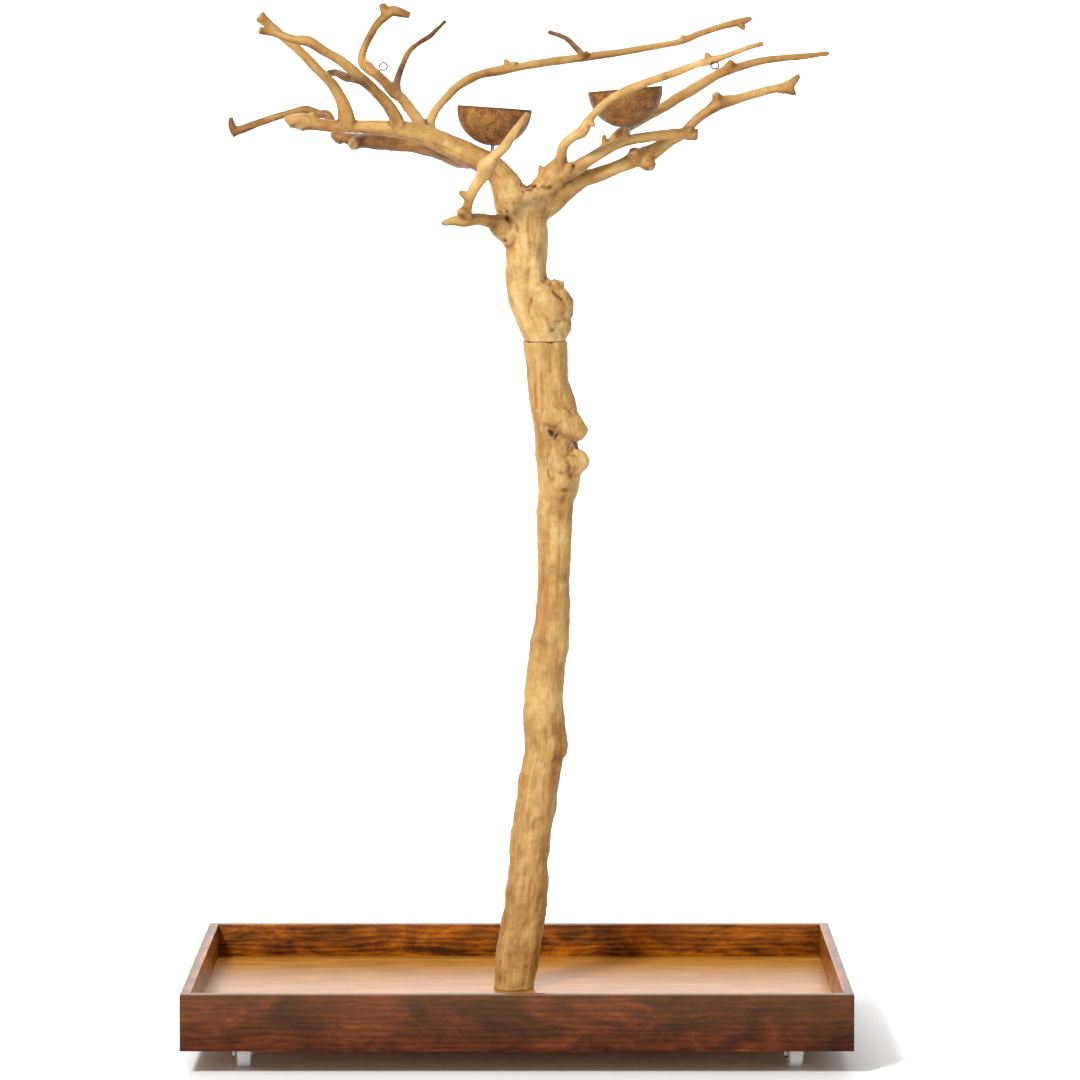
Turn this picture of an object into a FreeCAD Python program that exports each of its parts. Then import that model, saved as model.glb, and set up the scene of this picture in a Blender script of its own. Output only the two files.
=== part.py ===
# Parrot play stand: a branched hardwood perch screwed to the middle of a wooden tray on four casters.
# Millimetres. +X right, +Y back, +Z up. The origin is on the ground, under the middle of the tray.
# The tray is a floor panel held in the grooves of four mitred rails. The tree is a lower trunk and a
# crown, joined at a flat seam by a steel stud. Two coconut cups and two screw eyes sit on the crown.

import FreeCAD, Part
import math
import os
import Sketcher
from FreeCAD import Placement, Rotation, Vector

doc = FreeCAD.newDocument("parrot_play_stand")

# ---------------------------------------------------------------------------------------------
# Driving dimensions. A limb has two of its own: its reach, from the middle of its parent to its
# tip in a straight line, and its girth, the diameter at its root.
# ---------------------------------------------------------------------------------------------
SIZES = {
    "tray_length": 914,
    "tray_width": 610,
    "rail_height": 78,
    "rail_thick": 14,
    "rail_drop": 19,
    "rail_edge_break": 0.8,
    "floor_thick": 12,
    "groove_depth": 7,
    "groove_slack": 0.3,
    "block_length": 170,
    "block_thick": 18,
    "block_screw_inset": 22,
    "block_screw_bite": 8,
    "wood_screw_dia": 4,
    "wood_screw_head_dia": 7.4,
    "wood_screw_head_thick": 2.2,
    "screw_hole_slack": 0.15,
    "caster_height": 52,
    "caster_inset": 80,
    "caster_yaw": 7,
    "caster_trail": 18,
    "plate_length": 42,
    "plate_thick": 2,
    "plate_screw_inset": 6,
    "plate_screw_bite": 9,
    "screw_tip_room": 0.5,
    "race_dia": 31,
    "race_height": 5,
    "race_gap": 0.3,
    "fork_steel": 2,
    "fork_crown_length": 33,
    "fork_skirt": 6,
    "fork_lug_dia": 15,
    "kingpin_dia": 8,
    "kingpin_head_dia": 13,
    "kingpin_head_thick": 2.4,
    "running_gap": 0.1,
    "wheel_dia": 40,
    "wheel_width": 18,
    "wheel_chamfer": 2,
    "wheel_dish_depth": 2.5,
    "wheel_rim_wall": 5,
    "wheel_hub_dia": 16,
    "wheel_side_gap": 0.6,
    "axle_dia": 6,
    "axle_head_flats": 10,
    "axle_head_thick": 3.5,
    "axle_rivet_dia": 9,
    "axle_rivet_thick": 1.75,
    "bolt_dia": 12,
    "bolt_bite": 70,
    "bolt_head_flats": 18,
    "bolt_head_thick": 7.5,
    "washer_dia": 30,
    "washer_thick": 2.5,
    "stud_bite": 60,
    "bore_slack": 0.25,
    "trunk_x": -6,
    "trunk_y": 20,
    "cup_radius": 53.5,
    "cup_wall": 4,
    "cup_lip": 1.5,
    "cup_stand_off": 7,
    "left_cup_tilt": 4,
    "right_cup_tilt": -5,
    "cup_screw_dia": 6,
    "cup_screw_bite": 8,
    "cup_screw_head_dia": 11,
    "cup_screw_head_thick": 3,
    "cup_washer_dia": 16,
    "cup_washer_thick": 1.2,
    "eye_dia": 13,
    "eye_wire": 2.2,
    "eye_shank": 9,
    "eye_stand_off": 1,
    "left_eye_forward": 0,
    "left_eye_right": 45,
    "right_eye_forward": 150,
    "right_eye_right": 0,
    "lower_trunk_reach": 917,
    "lower_trunk_girth": 61,
    "crown_stem_reach": 215,
    "crown_stem_girth": 65,
    "left_main_limb_reach": 357,
    "left_main_limb_girth": 62,
    "left_low_branch_reach": 399,
    "left_low_branch_girth": 28,
    "left_tip_branch_reach": 198,
    "left_tip_branch_girth": 25,
    "left_mid_branch_reach": 264,
    "left_mid_branch_girth": 22,
    "left_mid_twig_reach": 109,
    "left_mid_twig_girth": 14,
    "left_back_branch_reach": 207,
    "left_back_branch_girth": 24,
    "left_back_twig_reach": 161,
    "left_back_twig_girth": 14,
    "long_arch_branch_reach": 506,
    "long_arch_branch_girth": 22,
    "arch_twig_reach": 101,
    "arch_twig_girth": 12,
    "front_spur_reach": 155,
    "front_spur_girth": 36,
    "front_perch_reach": 185,
    "front_perch_girth": 18,
    "right_knuckle_reach": 81,
    "right_knuckle_girth": 56,
    "right_front_branch_reach": 365,
    "right_front_branch_girth": 20,
    "right_cup_branch_reach": 202,
    "right_cup_branch_girth": 30,
    "right_back_branch_reach": 433,
    "right_back_branch_girth": 20,
    "right_low_branch_reach": 428,
    "right_low_branch_girth": 54,
}

sheet = doc.addObject("Spreadsheet::Sheet", "Sizes")
for row, (alias, value) in enumerate(SIZES.items(), start=1):
    sheet.set("A%d" % row, str(value))
    sheet.setAlias("A%d" % row, alias)
doc.recompute()

# A cut of this length goes right through any piece.
THROUGH = "2 * Sizes.tray_length"

NODES = []


def keep(thing, label):
    """Make a finished object one of the stand's separate pieces, under its own name."""
    thing.Label = label
    NODES.append(thing)
    return thing


def bind(thing, **formulas):
    """Bind properties to formulas on the sheet; a double underscore stands for a dot."""
    for name, formula in formulas.items():
        thing.setExpression(name.replace("__", "."), formula)


def place(thing, x="0", y="0", z="0"):
    """Bind where an object stands."""
    bind(thing, Placement__Base__x=x, Placement__Base__y=y, Placement__Base__z=z)


# ---------------------------------------------------------------------------------------------
# Plain solids
# ---------------------------------------------------------------------------------------------
def box(name, length, width, height, x="0", y="0", z="0"):
    """A block centred on x and y, standing on z."""
    block = doc.addObject("Part::Box", name)
    bind(block, Length=length, Width=width, Height=height)
    place(block, "(%s) - (%s) / 2" % (x, length), "(%s) - (%s) / 2" % (y, width), z)
    return block


def rod(name, diameter, length, x="0", y="0", z="0"):
    """An upright round bar standing on z."""
    bar = doc.addObject("Part::Cylinder", name)
    bind(bar, Radius="(%s) / 2" % diameter, Height=length)
    place(bar, x, y, z)
    return bar


def hexagon(name, flats, thick, x="0", y="0", z="0"):
    """A six-sided head, by its width across flats."""
    head = doc.addObject("Part::Prism", name)
    head.Polygon = 6
    bind(head, Circumradius="(%s) / 2 / cos(30)" % flats, Height=thick)
    place(head, x, y, z)
    return head


def fused(name, pieces):
    """Several solids joined into one."""
    joined = doc.addObject("Part::MultiFuse", name)
    joined.Shapes = pieces
    return joined


def cut(name, base, tool):
    """What is left of the base when the tool is taken away."""
    left = doc.addObject("Part::Cut", name)
    left.Base = base
    left.Tool = tool
    return left


# ---------------------------------------------------------------------------------------------
# Sketched solids
# ---------------------------------------------------------------------------------------------
def sketch_on(body, role, name, height=None):
    """A sketch on one of the body's own origin planes, lifted off it by a formula if one is given."""
    plane = [item for item in body.Origin.OriginFeatures if item.Role == role][0]
    sketch = body.newObject("Sketcher::SketchObject", name)
    sketch.AttachmentSupport = [(plane, "")]
    sketch.MapMode = "FlatFace"
    if height:
        bind(sketch, AttachmentOffset__Base__z=height)
    return sketch


def name_distance(sketch, kind, line, value, label, formula):
    """A named distance from the sketch's origin to the start of a line, driven by a formula."""
    index = sketch.addConstraint(Sketcher.Constraint(kind, -1, 1, line, 1, value))
    sketch.renameConstraint(index, label)
    sketch.setExpression("Constraints." + label, formula)


def outline(sketch, corners):
    """A closed outline of straight lines; each corner is a pair of formulas."""
    count = len(corners)
    guess = [Vector(value_of(x), value_of(y), 0) for x, y in corners]
    for i in range(count):
        sketch.addGeometry(Part.LineSegment(guess[i], guess[(i + 1) % count]))
    for i in range(count):
        sketch.addConstraint(Sketcher.Constraint("Coincident", i, 2, (i + 1) % count, 1))
    for i, (x, y) in enumerate(corners):
        name_distance(sketch, "DistanceX", i, guess[i].x, "corner_%d_x" % i, x)
        name_distance(sketch, "DistanceY", i, guess[i].y, "corner_%d_y" % i, y)


def circle(sketch, x, y, diameter):
    """A circle whose centre and diameter are formulas."""
    centre = Vector(value_of(x), value_of(y), 0)
    shape = Part.Circle(centre, Vector(0, 0, 1), value_of(diameter) / 2)
    index = sketch.addGeometry(shape)
    for kind, value, label, formula in (
        ("DistanceX", centre.x, "middle_x_%d" % index, x),
        ("DistanceY", centre.y, "middle_y_%d" % index, y),
    ):
        number = sketch.addConstraint(Sketcher.Constraint(kind, -1, 1, index, 3, value))
        sketch.renameConstraint(number, label)
        sketch.setExpression("Constraints." + label, formula)
    number = sketch.addConstraint(Sketcher.Constraint("Diameter", index, value_of(diameter)))
    sketch.renameConstraint(number, "across_%d" % index)
    sketch.setExpression("Constraints.across_%d" % index, diameter)


def value_of(formula):
    """The present value of a formula on the sheet."""
    return float(sheet.evalExpression(formula))


def pad(body, sketch, length, name, both_ways=False):
    """A sketch drawn out to a solid, to one side or evenly to both."""
    feature = body.newObject("PartDesign::Pad", name)
    feature.Profile = sketch
    feature.Midplane = both_ways
    bind(feature, Length=length)
    return feature


def pocket(body, sketch, length, name):
    """A pocket cut both ways from its sketch."""
    feature = body.newObject("PartDesign::Pocket", name)
    feature.Profile = sketch
    feature.Midplane = True
    bind(feature, Length=length)
    return feature


# ---------------------------------------------------------------------------------------------
# Tray: four mitred rails round a floor panel that slides into their grooves
# ---------------------------------------------------------------------------------------------
RAIL_BOTTOM = "Sizes.caster_height - Sizes.rail_drop"
FLOOR_TOP = "Sizes.caster_height + Sizes.floor_thick"


def rail(label, length, reach, turn):
    """One rail: a mitred board with a groove for the floor and its two top edges eased."""
    body = doc.addObject("PartDesign::Body", label)
    plan = sketch_on(body, "XY_Plane", label + "_plan")
    half = "Sizes.%s / 2" % length
    outline(
        plan,
        [
            ("-" + half, "0"),
            (half, "0"),
            (half + " - Sizes.rail_thick", "Sizes.rail_thick"),
            ("-" + half + " + Sizes.rail_thick", "Sizes.rail_thick"),
        ],
    )
    board = pad(body, plan, "Sizes.rail_height", label + "_board")

    groove_plan = sketch_on(body, "YZ_Plane", label + "_groove_plan")
    low = "Sizes.rail_drop - Sizes.groove_slack"
    high = "Sizes.rail_drop + Sizes.floor_thick + Sizes.groove_slack"
    deep = "Sizes.rail_thick - Sizes.groove_depth"
    proud = "Sizes.rail_thick + Sizes.groove_depth"
    outline(groove_plan, [(deep, low), (proud, low), (proud, high), (deep, high)])
    grooved = pocket(body, groove_plan, "Sizes.%s" % length, label + "_groove")

    doc.recompute([body])
    rim = value_of("Sizes.rail_height")
    top_edges = []
    for number, edge in enumerate(grooved.Shape.Edges, start=1):
        room = edge.BoundBox
        if room.ZMin > rim - 0.01 and room.YLength < 0.01:
            top_edges.append("Edge%d" % number)
    easing = body.newObject("PartDesign::Chamfer", label + "_eased_edges")
    easing.Base = (grooved, top_edges)
    bind(easing, Size="Sizes.rail_edge_break")

    body.Placement = Placement(Vector(), Rotation(Vector(0, 0, 1), turn))
    ahead = {0: (0, -1), 90: (1, 0), 180: (0, 1), 270: (-1, 0)}[turn]
    place(
        body,
        "%d * Sizes.%s / 2" % (ahead[0], reach),
        "%d * Sizes.%s / 2" % (ahead[1], reach),
        RAIL_BOTTOM,
    )
    return keep(body, label)


rail("tray_front_rail", "tray_length", "tray_width", 0)
rail("tray_right_rail", "tray_width", "tray_length", 90)
rail("tray_back_rail", "tray_length", "tray_width", 180)
rail("tray_left_rail", "tray_width", "tray_length", 270)

CASTER_CORNERS = {
    "front_left": (-1, -1),
    "front_right": (1, -1),
    "back_left": (-1, 1),
    "back_right": (1, 1),
}


def corner_place(corner):
    """Where a caster's kingpin stands, as two formulas."""
    side, end = CASTER_CORNERS[corner]
    x = "%d * (Sizes.tray_length / 2 - Sizes.caster_inset)" % side
    y = "%d * (Sizes.tray_width / 2 - Sizes.caster_inset)" % end
    return x, y


PLATE_SCREW_OUT = "(Sizes.plate_length / 2 - Sizes.plate_screw_inset)"
BLOCK_SCREW_OUT = "(Sizes.block_length / 2 - Sizes.block_screw_inset)"
SQUARE = ((-1, -1), (1, -1), (1, 1), (-1, 1))


def plate_screw_places():
    """The sixteen screws that hold the caster plates, as pairs of formulas."""
    for corner in CASTER_CORNERS:
        x, y = corner_place(corner)
        for side, end in SQUARE:
            yield "%s + %d * %s" % (x, side, PLATE_SCREW_OUT), "%s + %d * %s" % (y, end, PLATE_SCREW_OUT)


def block_screw_places():
    """The four screws that hold the mounting block, as pairs of formulas."""
    for side, end in SQUARE:
        x = "Sizes.trunk_x + %d * %s" % (side, BLOCK_SCREW_OUT)
        y = "Sizes.trunk_y + %d * %s" % (end, BLOCK_SCREW_OUT)
        yield x, y


def upright_holes(name, places, diameter, low, depth):
    """A set of upright round holes, ready to be cut from a board."""
    holes = []
    for number, (x, y) in enumerate(places, start=1):
        holes.append(rod("%s_%d" % (name, number), diameter, depth, x, y, low))
    return fused(name, holes)


PILOT = "Sizes.wood_screw_dia + 2 * Sizes.screw_hole_slack"
BOLT_BORE = "Sizes.bolt_dia + 2 * Sizes.bore_slack"

panel_growth = "2 * (Sizes.groove_depth - Sizes.groove_slack - Sizes.rail_thick)"
panel = box(
    "panel_board",
    "Sizes.tray_length + " + panel_growth,
    "Sizes.tray_width + " + panel_growth,
    "Sizes.floor_thick",
    z="Sizes.caster_height",
)
plate_pilots = upright_holes(
    "plate_pilots", plate_screw_places(), PILOT, "Sizes.caster_height",
    "Sizes.plate_screw_bite + Sizes.screw_tip_room",
)
block_pilots = upright_holes(
    "block_pilots", block_screw_places(), PILOT, "Sizes.caster_height",
    "Sizes.block_screw_bite + Sizes.screw_tip_room",
)
panel_bore = rod(
    "panel_bore", BOLT_BORE, "Sizes.floor_thick", "Sizes.trunk_x", "Sizes.trunk_y", "Sizes.caster_height"
)
panel_holes = fused("panel_holes", [plate_pilots, block_pilots, panel_bore])
keep(cut("tray_floor", panel, panel_holes), "tray_floor_panel")

# ---------------------------------------------------------------------------------------------
# Under the floor: a block, a hexagon-headed bolt and a washer draw the trunk down
# ---------------------------------------------------------------------------------------------
BLOCK_BOTTOM = "Sizes.caster_height - Sizes.block_thick"

block_board = box(
    "block_board", "Sizes.block_length", "Sizes.block_length", "Sizes.block_thick", "Sizes.trunk_x",
    "Sizes.trunk_y", BLOCK_BOTTOM,
)
block_clearance = upright_holes(
    "block_clearance", block_screw_places(), PILOT, BLOCK_BOTTOM, "Sizes.block_thick"
)
block_bore = rod(
    "block_bore", BOLT_BORE, "Sizes.block_thick", "Sizes.trunk_x", "Sizes.trunk_y", BLOCK_BOTTOM
)
block_holes = fused("block_holes", [block_clearance, block_bore])
keep(cut("trunk_block", block_board, block_holes), "mounting_block")


def wood_screws(label, places, seat, grip):
    """Pan-headed wood screws driven upward, each head under the seat."""
    screws = []
    for number, (x, y) in enumerate(places, start=1):
        stem = "%s_%d" % (label, number)
        shank = rod(stem + "_shank", "Sizes.wood_screw_dia", grip, x, y, seat)
        head = rod(
            stem + "_head", "Sizes.wood_screw_head_dia", "Sizes.wood_screw_head_thick", x, y,
            "%s - Sizes.wood_screw_head_thick" % seat,
        )
        screws.append(fused(stem, [shank, head]))
    group = doc.addObject("Part::Compound", label)
    group.Links = screws
    return keep(group, label)


wood_screws(
    "block_screws", block_screw_places(), BLOCK_BOTTOM, "Sizes.block_thick + Sizes.block_screw_bite"
)
PLATE_BOTTOM = "Sizes.caster_height - Sizes.plate_thick"
wood_screws("caster_screws", plate_screw_places(), PLATE_BOTTOM, "Sizes.plate_thick + Sizes.plate_screw_bite")

WASHER_BOTTOM = BLOCK_BOTTOM + " - Sizes.washer_thick"
washer_disc = rod(
    "washer_disc", "Sizes.washer_dia", "Sizes.washer_thick", "Sizes.trunk_x", "Sizes.trunk_y", WASHER_BOTTOM
)
washer_hole = rod(
    "washer_hole", BOLT_BORE, "Sizes.washer_thick", "Sizes.trunk_x", "Sizes.trunk_y", WASHER_BOTTOM
)
keep(cut("bolt_washer", washer_disc, washer_hole), "trunk_washer")

bolt_head = hexagon(
    "bolt_head", "Sizes.bolt_head_flats", "Sizes.bolt_head_thick", "Sizes.trunk_x", "Sizes.trunk_y",
    WASHER_BOTTOM + " - Sizes.bolt_head_thick",
)
bolt_shank = rod(
    "bolt_shank", "Sizes.bolt_dia",
    "Sizes.washer_thick + Sizes.block_thick + Sizes.floor_thick + Sizes.bolt_bite",
    "Sizes.trunk_x", "Sizes.trunk_y", WASHER_BOTTOM,
)
keep(fused("lag_bolt", [bolt_head, bolt_shank]), "trunk_bolt")

# ---------------------------------------------------------------------------------------------
# The tree. Each limb is a smooth loft through many-sided rings. A ring is given by how far it
# lies from the limb's root along x, y and z, in hundredths of the limb's reach, and by its
# width, in hundredths of the limb's girth. The root lies in the middle of a ring of the limb's
# parent, so a limb follows its parent, and it is cut away where it runs inside the parent.
# ---------------------------------------------------------------------------------------------
TRUNK_SIDES = 10
BRANCH_SIDES = 8
WIRE_SIDES = 8

LIMBS = []


class Limb:
    """The rings of one limb, and later its whole solid, before its bore is cut."""

    def __init__(self, name, root, shape, sides=BRANCH_SIDES, flat_ends=False):
        self.name = name
        self.rings = []
        self.flat_ends = flat_ends
        self.whole = None
        LIMBS.append(self)
        reach = "Sizes.%s_reach * 1 mm" % name
        girth = "Sizes.%s_girth * 1 mm" % name
        for number, (x, y, z, width) in enumerate(shape):
            ring = doc.addObject("Part::RegularPolygon", "%s_ring_%d" % (name, number))
            ring.Polygon = sides
            bind(ring, Circumradius="%s * %g / 200" % (girth, width))
            place(
                ring,
                "%s + %s * %g / 100" % (root[0], reach, x),
                "%s + %s * %g / 100" % (root[1], reach, y),
                "%s + %s * %g / 100" % (root[2], reach, z),
            )
            self.rings.append(ring)


def ring_centre(name, number):
    """The middle of one ring of a limb, as three formulas."""
    ring = "%s_ring_%d" % (name, number)
    return tuple("%s.Placement.Base.%s" % (ring, axis) for axis in "xyz")


def burl(limb, name, number, shape, sides=BRANCH_SIDES):
    """A knob or a broken stub on a limb; its rings are measured in hundredths of the limb's girth."""
    root = ring_centre(limb.name, number)
    girth = "Sizes.%s_girth * 1 mm" % limb.name
    rings = []
    for index, (x, y, z, width) in enumerate(shape):
        ring = doc.addObject("Part::RegularPolygon", "%s_ring_%d" % (name, index))
        ring.Polygon = sides
        bind(ring, Circumradius="%s * %g / 200" % (girth, width))
        place(
            ring,
            "%s + %s * %g / 100" % (root[0], girth, x),
            "%s + %s * %g / 100" % (root[1], girth, y),
            "%s + %s * %g / 100" % (root[2], girth, z),
        )
        rings.append(ring)
    return name, rings


def turn_rings(rings, flat_ends):
    """Turn each ring square to the limb's run, with no twist from one ring to the next."""
    centres = [ring.Placement.Base for ring in rings]
    facing = Vector(0, 0, 1)
    turn = Rotation()
    for number, ring in enumerate(rings):
        before = centres[max(number - 1, 0)]
        after = centres[min(number + 1, len(rings) - 1)]
        run = (after - before).normalize()
        if flat_ends and number in (0, len(rings) - 1):
            run = Vector(0, 0, 1)
        turn = Rotation(facing, run).multiply(turn)
        ring.Placement.Rotation = turn
        facing = run


def loft(name, rings):
    """A smooth solid through a row of rings."""
    solid = doc.addObject("Part::Loft", name)
    solid.Sections = rings
    solid.Solid = True
    solid.Ruled = False
    solid.MaxDegree = 3
    return solid


trunk_foot = ("Sizes.trunk_x * 1 mm", "Sizes.trunk_y * 1 mm", "(%s) * 1 mm" % FLOOR_TOP)

lower_trunk = Limb(
    "lower_trunk",
    trunk_foot,
    [
        (0, 0, 0, 100),
        (0.9, 0.3, 8, 98),
        (2, 0.7, 16, 97),
        (2.9, 1.2, 24, 95),
        (4, 1.6, 32, 96),
        (5, 1.7, 38, 97),
        (4.7, 1.5, 45, 92),
        (5.6, 1.4, 53, 87),
        (6.1, 1.6, 61, 81),
        (6.3, 1.7, 69, 78),
        (6.4, 2, 75, 83),
        (7, 2, 80, 101),
        (6.4, 2, 86, 99),
        (5.3, 1.8, 93, 96),
        (4.8, 1.7, 100, 106.5),
    ],
    sides=TRUNK_SIDES,
    flat_ends=True,
)
seam = ring_centre("lower_trunk", 14)

crown_stem = Limb(
    "crown_stem",
    seam,
    [
        (0, 0, 0, 100),
        (-3, -1, 13, 107),
        (-7, -2, 24, 100),
        (-12, -3, 36, 89),
        (-13, -3, 51, 88),
        (-12, -3, 64, 92),
        (-13, -3, 78, 103),
        (-12, -3, 89, 112),
        (-9, -4, 100, 84),
    ],
    sides=TRUNK_SIDES,
    flat_ends=True,
)
left_main_limb = Limb(
    "left_main_limb",
    ring_centre("crown_stem", 7),
    [
        (0, 0, 0, 100),
        (-7, -1, 7, 81),
        (-14, -2, 16, 58),
        (-21, -3, 19, 52),
        (-29, -4, 23, 48),
        (-40, -6, 28, 44),
        (-51, -10, 30, 35),
        (-61, -11, 31, 30),
        (-70, -12, 31, 27),
        (-79, -14, 32, 27),
        (-87, -14, 33, 43),
        (-93, -15, 34, 26),
    ],
    sides=TRUNK_SIDES,
)
left_low_branch = Limb(
    "left_low_branch",
    ring_centre("left_main_limb", 3),
    [
        (0, 0, 0, 100),
        (-5, 8, -1, 93),
        (-12, 16, 1, 88),
        (-20, 24, 3, 82),
        (-36, 32, 5, 64),
        (-48, 37, 7, 50),
        (-52, 39, 13, 46),
        (-57, 40, 16, 46),
        (-67, 43, 16, 39),
        (-77, 45, 13, 39),
        (-88, 47, 9, 43),
    ],
)
left_tip_branch = Limb(
    "left_tip_branch",
    ring_centre("left_main_limb", 8),
    [
        (0, 0, 0, 100),
        (0, -1, 8, 84),
        (-4, -4, 19, 64),
        (-14, -7, 32, 56),
        (-24, -10, 44, 55),
        (-34, -13, 55, 56),
        (-46, -16, 65, 56),
        (-60, -21, 77, 64),
    ],
)
left_mid_branch = Limb(
    "left_mid_branch",
    ring_centre("left_main_limb", 6),
    [
        (0, 0, 0, 100),
        (0, -5, 6, 82),
        (-6, -13, 15, 73),
        (-17, -25, 27, 68),
        (-30, -35, 37, 64),
        (-44, -42, 45, 77),
        (-55, -46, 47, 59),
        (-69, -51, 51, 50),
    ],
)
left_mid_twig = Limb(
    "left_mid_twig",
    ring_centre("left_mid_branch", 3),
    [(0, 0, 0, 100), (-20, 34, 3, 79), (-33, 66, 7, 71), (-46, 89, 8, 64)],
)
left_back_branch = Limb(
    "left_back_branch",
    ring_centre("left_main_limb", 5),
    [
        (0, 0, 0, 100),
        (-4, 8, 9, 75),
        (-10, 19, 17, 67),
        (-19, 32, 27, 62),
        (-34, 47, 41, 60),
        (-41, 53, 47, 71),
        (-44, 57, 54, 54),
        (-42, 59, 64, 46),
        (-33, 57, 77, 50),
        (-24, 54, 85, 79),
        (-11, 54, 83, 38),
    ],
)
left_back_twig = Limb(
    "left_back_twig",
    ring_centre("left_back_branch", 3),
    [(0, 0, 0, 100), (-1, 14, 12, 71), (4, 29, 29, 64), (12, 42, 42, 57), (27, 53, 52, 57), (40, 63, 66, 43)],
)
long_arch_branch = Limb(
    "long_arch_branch",
    ring_centre("left_main_limb", 5),
    [
        (0, 0, 0, 100),
        (2, 3, 4, 64),
        (4, 7, 8, 55),
        (10, 11, 14, 55),
        (21, 15, 18, 68),
        (35, 18, 21, 55),
        (44, 20, 22, 55),
        (58, 21, 24, 50),
        (71, 23, 26, 45),
        (82, 24, 29, 45),
        (91, 24, 33, 32),
    ],
)
arch_twig = Limb(
    "arch_twig",
    ring_centre("long_arch_branch", 6),
    [(0, 0, 0, 100), (-12, 25, 16, 75), (-26, 50, 29, 67), (-49, 79, 38, 58)],
)
front_spur = Limb(
    "front_spur",
    ring_centre("crown_stem", 6),
    [
        (0, 0, 0, 100),
        (-20, -15, 1, 78),
        (-32, -28, 3, 56),
        (-43, -41, 5, 50),
        (-54, -54, 4, 47),
        (-65, -62, 3, 39),
        (-74, -67, 1, 19),
    ],
)
front_perch = Limb(
    "front_perch",
    ring_centre("front_spur", 4),
    [
        (0, 0, 0, 70),
        (1, -3, 9, 80),
        (4, -7, 20, 78),
        (11, -13, 31, 96),
        (16, -18, 41, 150),
        (22, -23, 50, 96),
        (30, -28, 59, 78),
        (38, -33, 69, 66),
        (47, -39, 79, 56),
    ],
)
right_knuckle = Limb(
    "right_knuckle",
    ring_centre("crown_stem", 7),
    [(0, 0, 0, 100), (28, -2, 26, 79), (44, -11, 49, 64), (53, -17, 63, 61), (58, -25, 78, 38)],
)
right_front_branch = Limb(
    "right_front_branch",
    ring_centre("right_knuckle", 3),
    [
        (0, 0, 0, 100),
        (1, -3, 6, 80),
        (3, -7, 10, 70),
        (10, -13, 15, 85),
        (12, -16, 19, 65),
        (18, -21, 25, 60),
        (27, -25, 31, 60),
        (42, -32, 36, 55),
        (59, -38, 42, 55),
        (77, -43, 48, 35),
    ],
)
right_cup_branch = Limb(
    "right_cup_branch",
    ring_centre("right_knuckle", 3),
    [
        (0, 0, 0, 100),
        (9, 0, 0, 77),
        (18, 0, 4, 63),
        (35, 1, 14, 53),
        (50, 2, 21, 50),
        (66, 2, 23, 50),
        (79, 1, 25, 50),
        (90, 0, 25, 57),
        (98, 0, 25, 50),
    ],
)
right_back_branch = Limb(
    "right_back_branch",
    ring_centre("right_cup_branch", 2),
    [
        (0, 0, 0, 60),
        (7, 9, 5, 75),
        (13, 15, 10, 70),
        (19, 21, 14, 70),
        (29, 28, 20, 75),
        (37, 33, 25, 75),
        (47, 37, 30, 65),
        (59, 40, 34, 60),
        (71, 42, 35, 45),
        (82, 44, 36, 35),
    ],
)
right_low_branch = Limb(
    "right_low_branch",
    ring_centre("crown_stem", 7),
    [
        (0, 0, 0, 70),
        (6, 0, 2, 78),
        (12, 1, 5, 61),
        (18, 2, 9, 44),
        (31, 4, 13, 37),
        (38, 5, 16, 46),
        (46, 6, 21, 33),
        (54, 7, 27, 28),
        (60, 7, 31, 26),
        (64, 7, 34, 33),
        (75, 8, 37, 22),
        (85, 9, 39, 30),
        (90, 10, 43, 15),
    ],
)

trunk_burls = [
    burl(lower_trunk, "upper_trunk_burl", 12, [(0, 0, 0, 60), (36, -12, 8, 50), (58, -16, 16, 22)]),
    burl(lower_trunk, "lower_trunk_burl", 11, [(0, 0, 0, 62), (36, -6, 12, 50), (60, -8, 20, 22)]),
    burl(lower_trunk, "trunk_knot", 12, [(0, 0, 8, 44), (-4, -36, 10, 36), (-6, -54, 12, 18)]),
]
stem_burls = [
    burl(crown_stem, "stem_burl", 2, [(0, 0, 0, 90), (32, -4, 14, 84), (56, -6, 20, 50)]),
    burl(crown_stem, "broken_stub", 3, [(0, 0, 0, 40), (46, -14, 14, 26), (66, -20, 24, 14)]),
]
perch_stubs = [
    burl(front_perch, "front_perch_stub", 2, [(0, 0, 0, 60), (-44, -22, 4, 50), (-62, -30, 20, 36)]),
]
arch_bud = [
    burl(long_arch_branch, "arch_bud", 4, [(0, 0, 0, 44), (6, 0, 40, 34), (10, 0, 66, 18)]),
]
low_branch_stubs = [
    burl(left_low_branch, "low_branch_stub", 4, [(0, 0, 0, 56), (-36, 14, 4, 46), (-62, 22, 6, 36)]),
]

doc.recompute()
for limb in LIMBS:
    turn_rings(limb.rings, limb.flat_ends)
for burls in (trunk_burls, stem_burls, perch_stubs, arch_bud, low_branch_stubs):
    for name, rings in burls:
        turn_rings(rings, flat_ends=False)
doc.recompute()


def wooden(limb, burls=(), inside=(), bore=None):
    """The limb's solid with its burls, less what runs inside the limbs that carry it and its bore."""
    solid = loft(limb.name + "_loft", limb.rings)
    if burls:
        knobs = [loft(name, rings) for name, rings in burls]
        solid = fused(limb.name + "_with_burls", [solid] + knobs)
    for other in inside:
        solid = cut("%s_clear_of_%s" % (limb.name, other.name), solid, other.whole)
    limb.whole = solid
    if bore:
        solid = cut(limb.name + "_bored", solid, bore)
    return keep(solid, limb.name)


# ---------------------------------------------------------------------------------------------
# Two half coconut shells, each stood off its limb by the shank of a pan-headed screw
# ---------------------------------------------------------------------------------------------
SCREW_BORE = "Sizes.cup_screw_dia + 2 * Sizes.screw_hole_slack"


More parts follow.
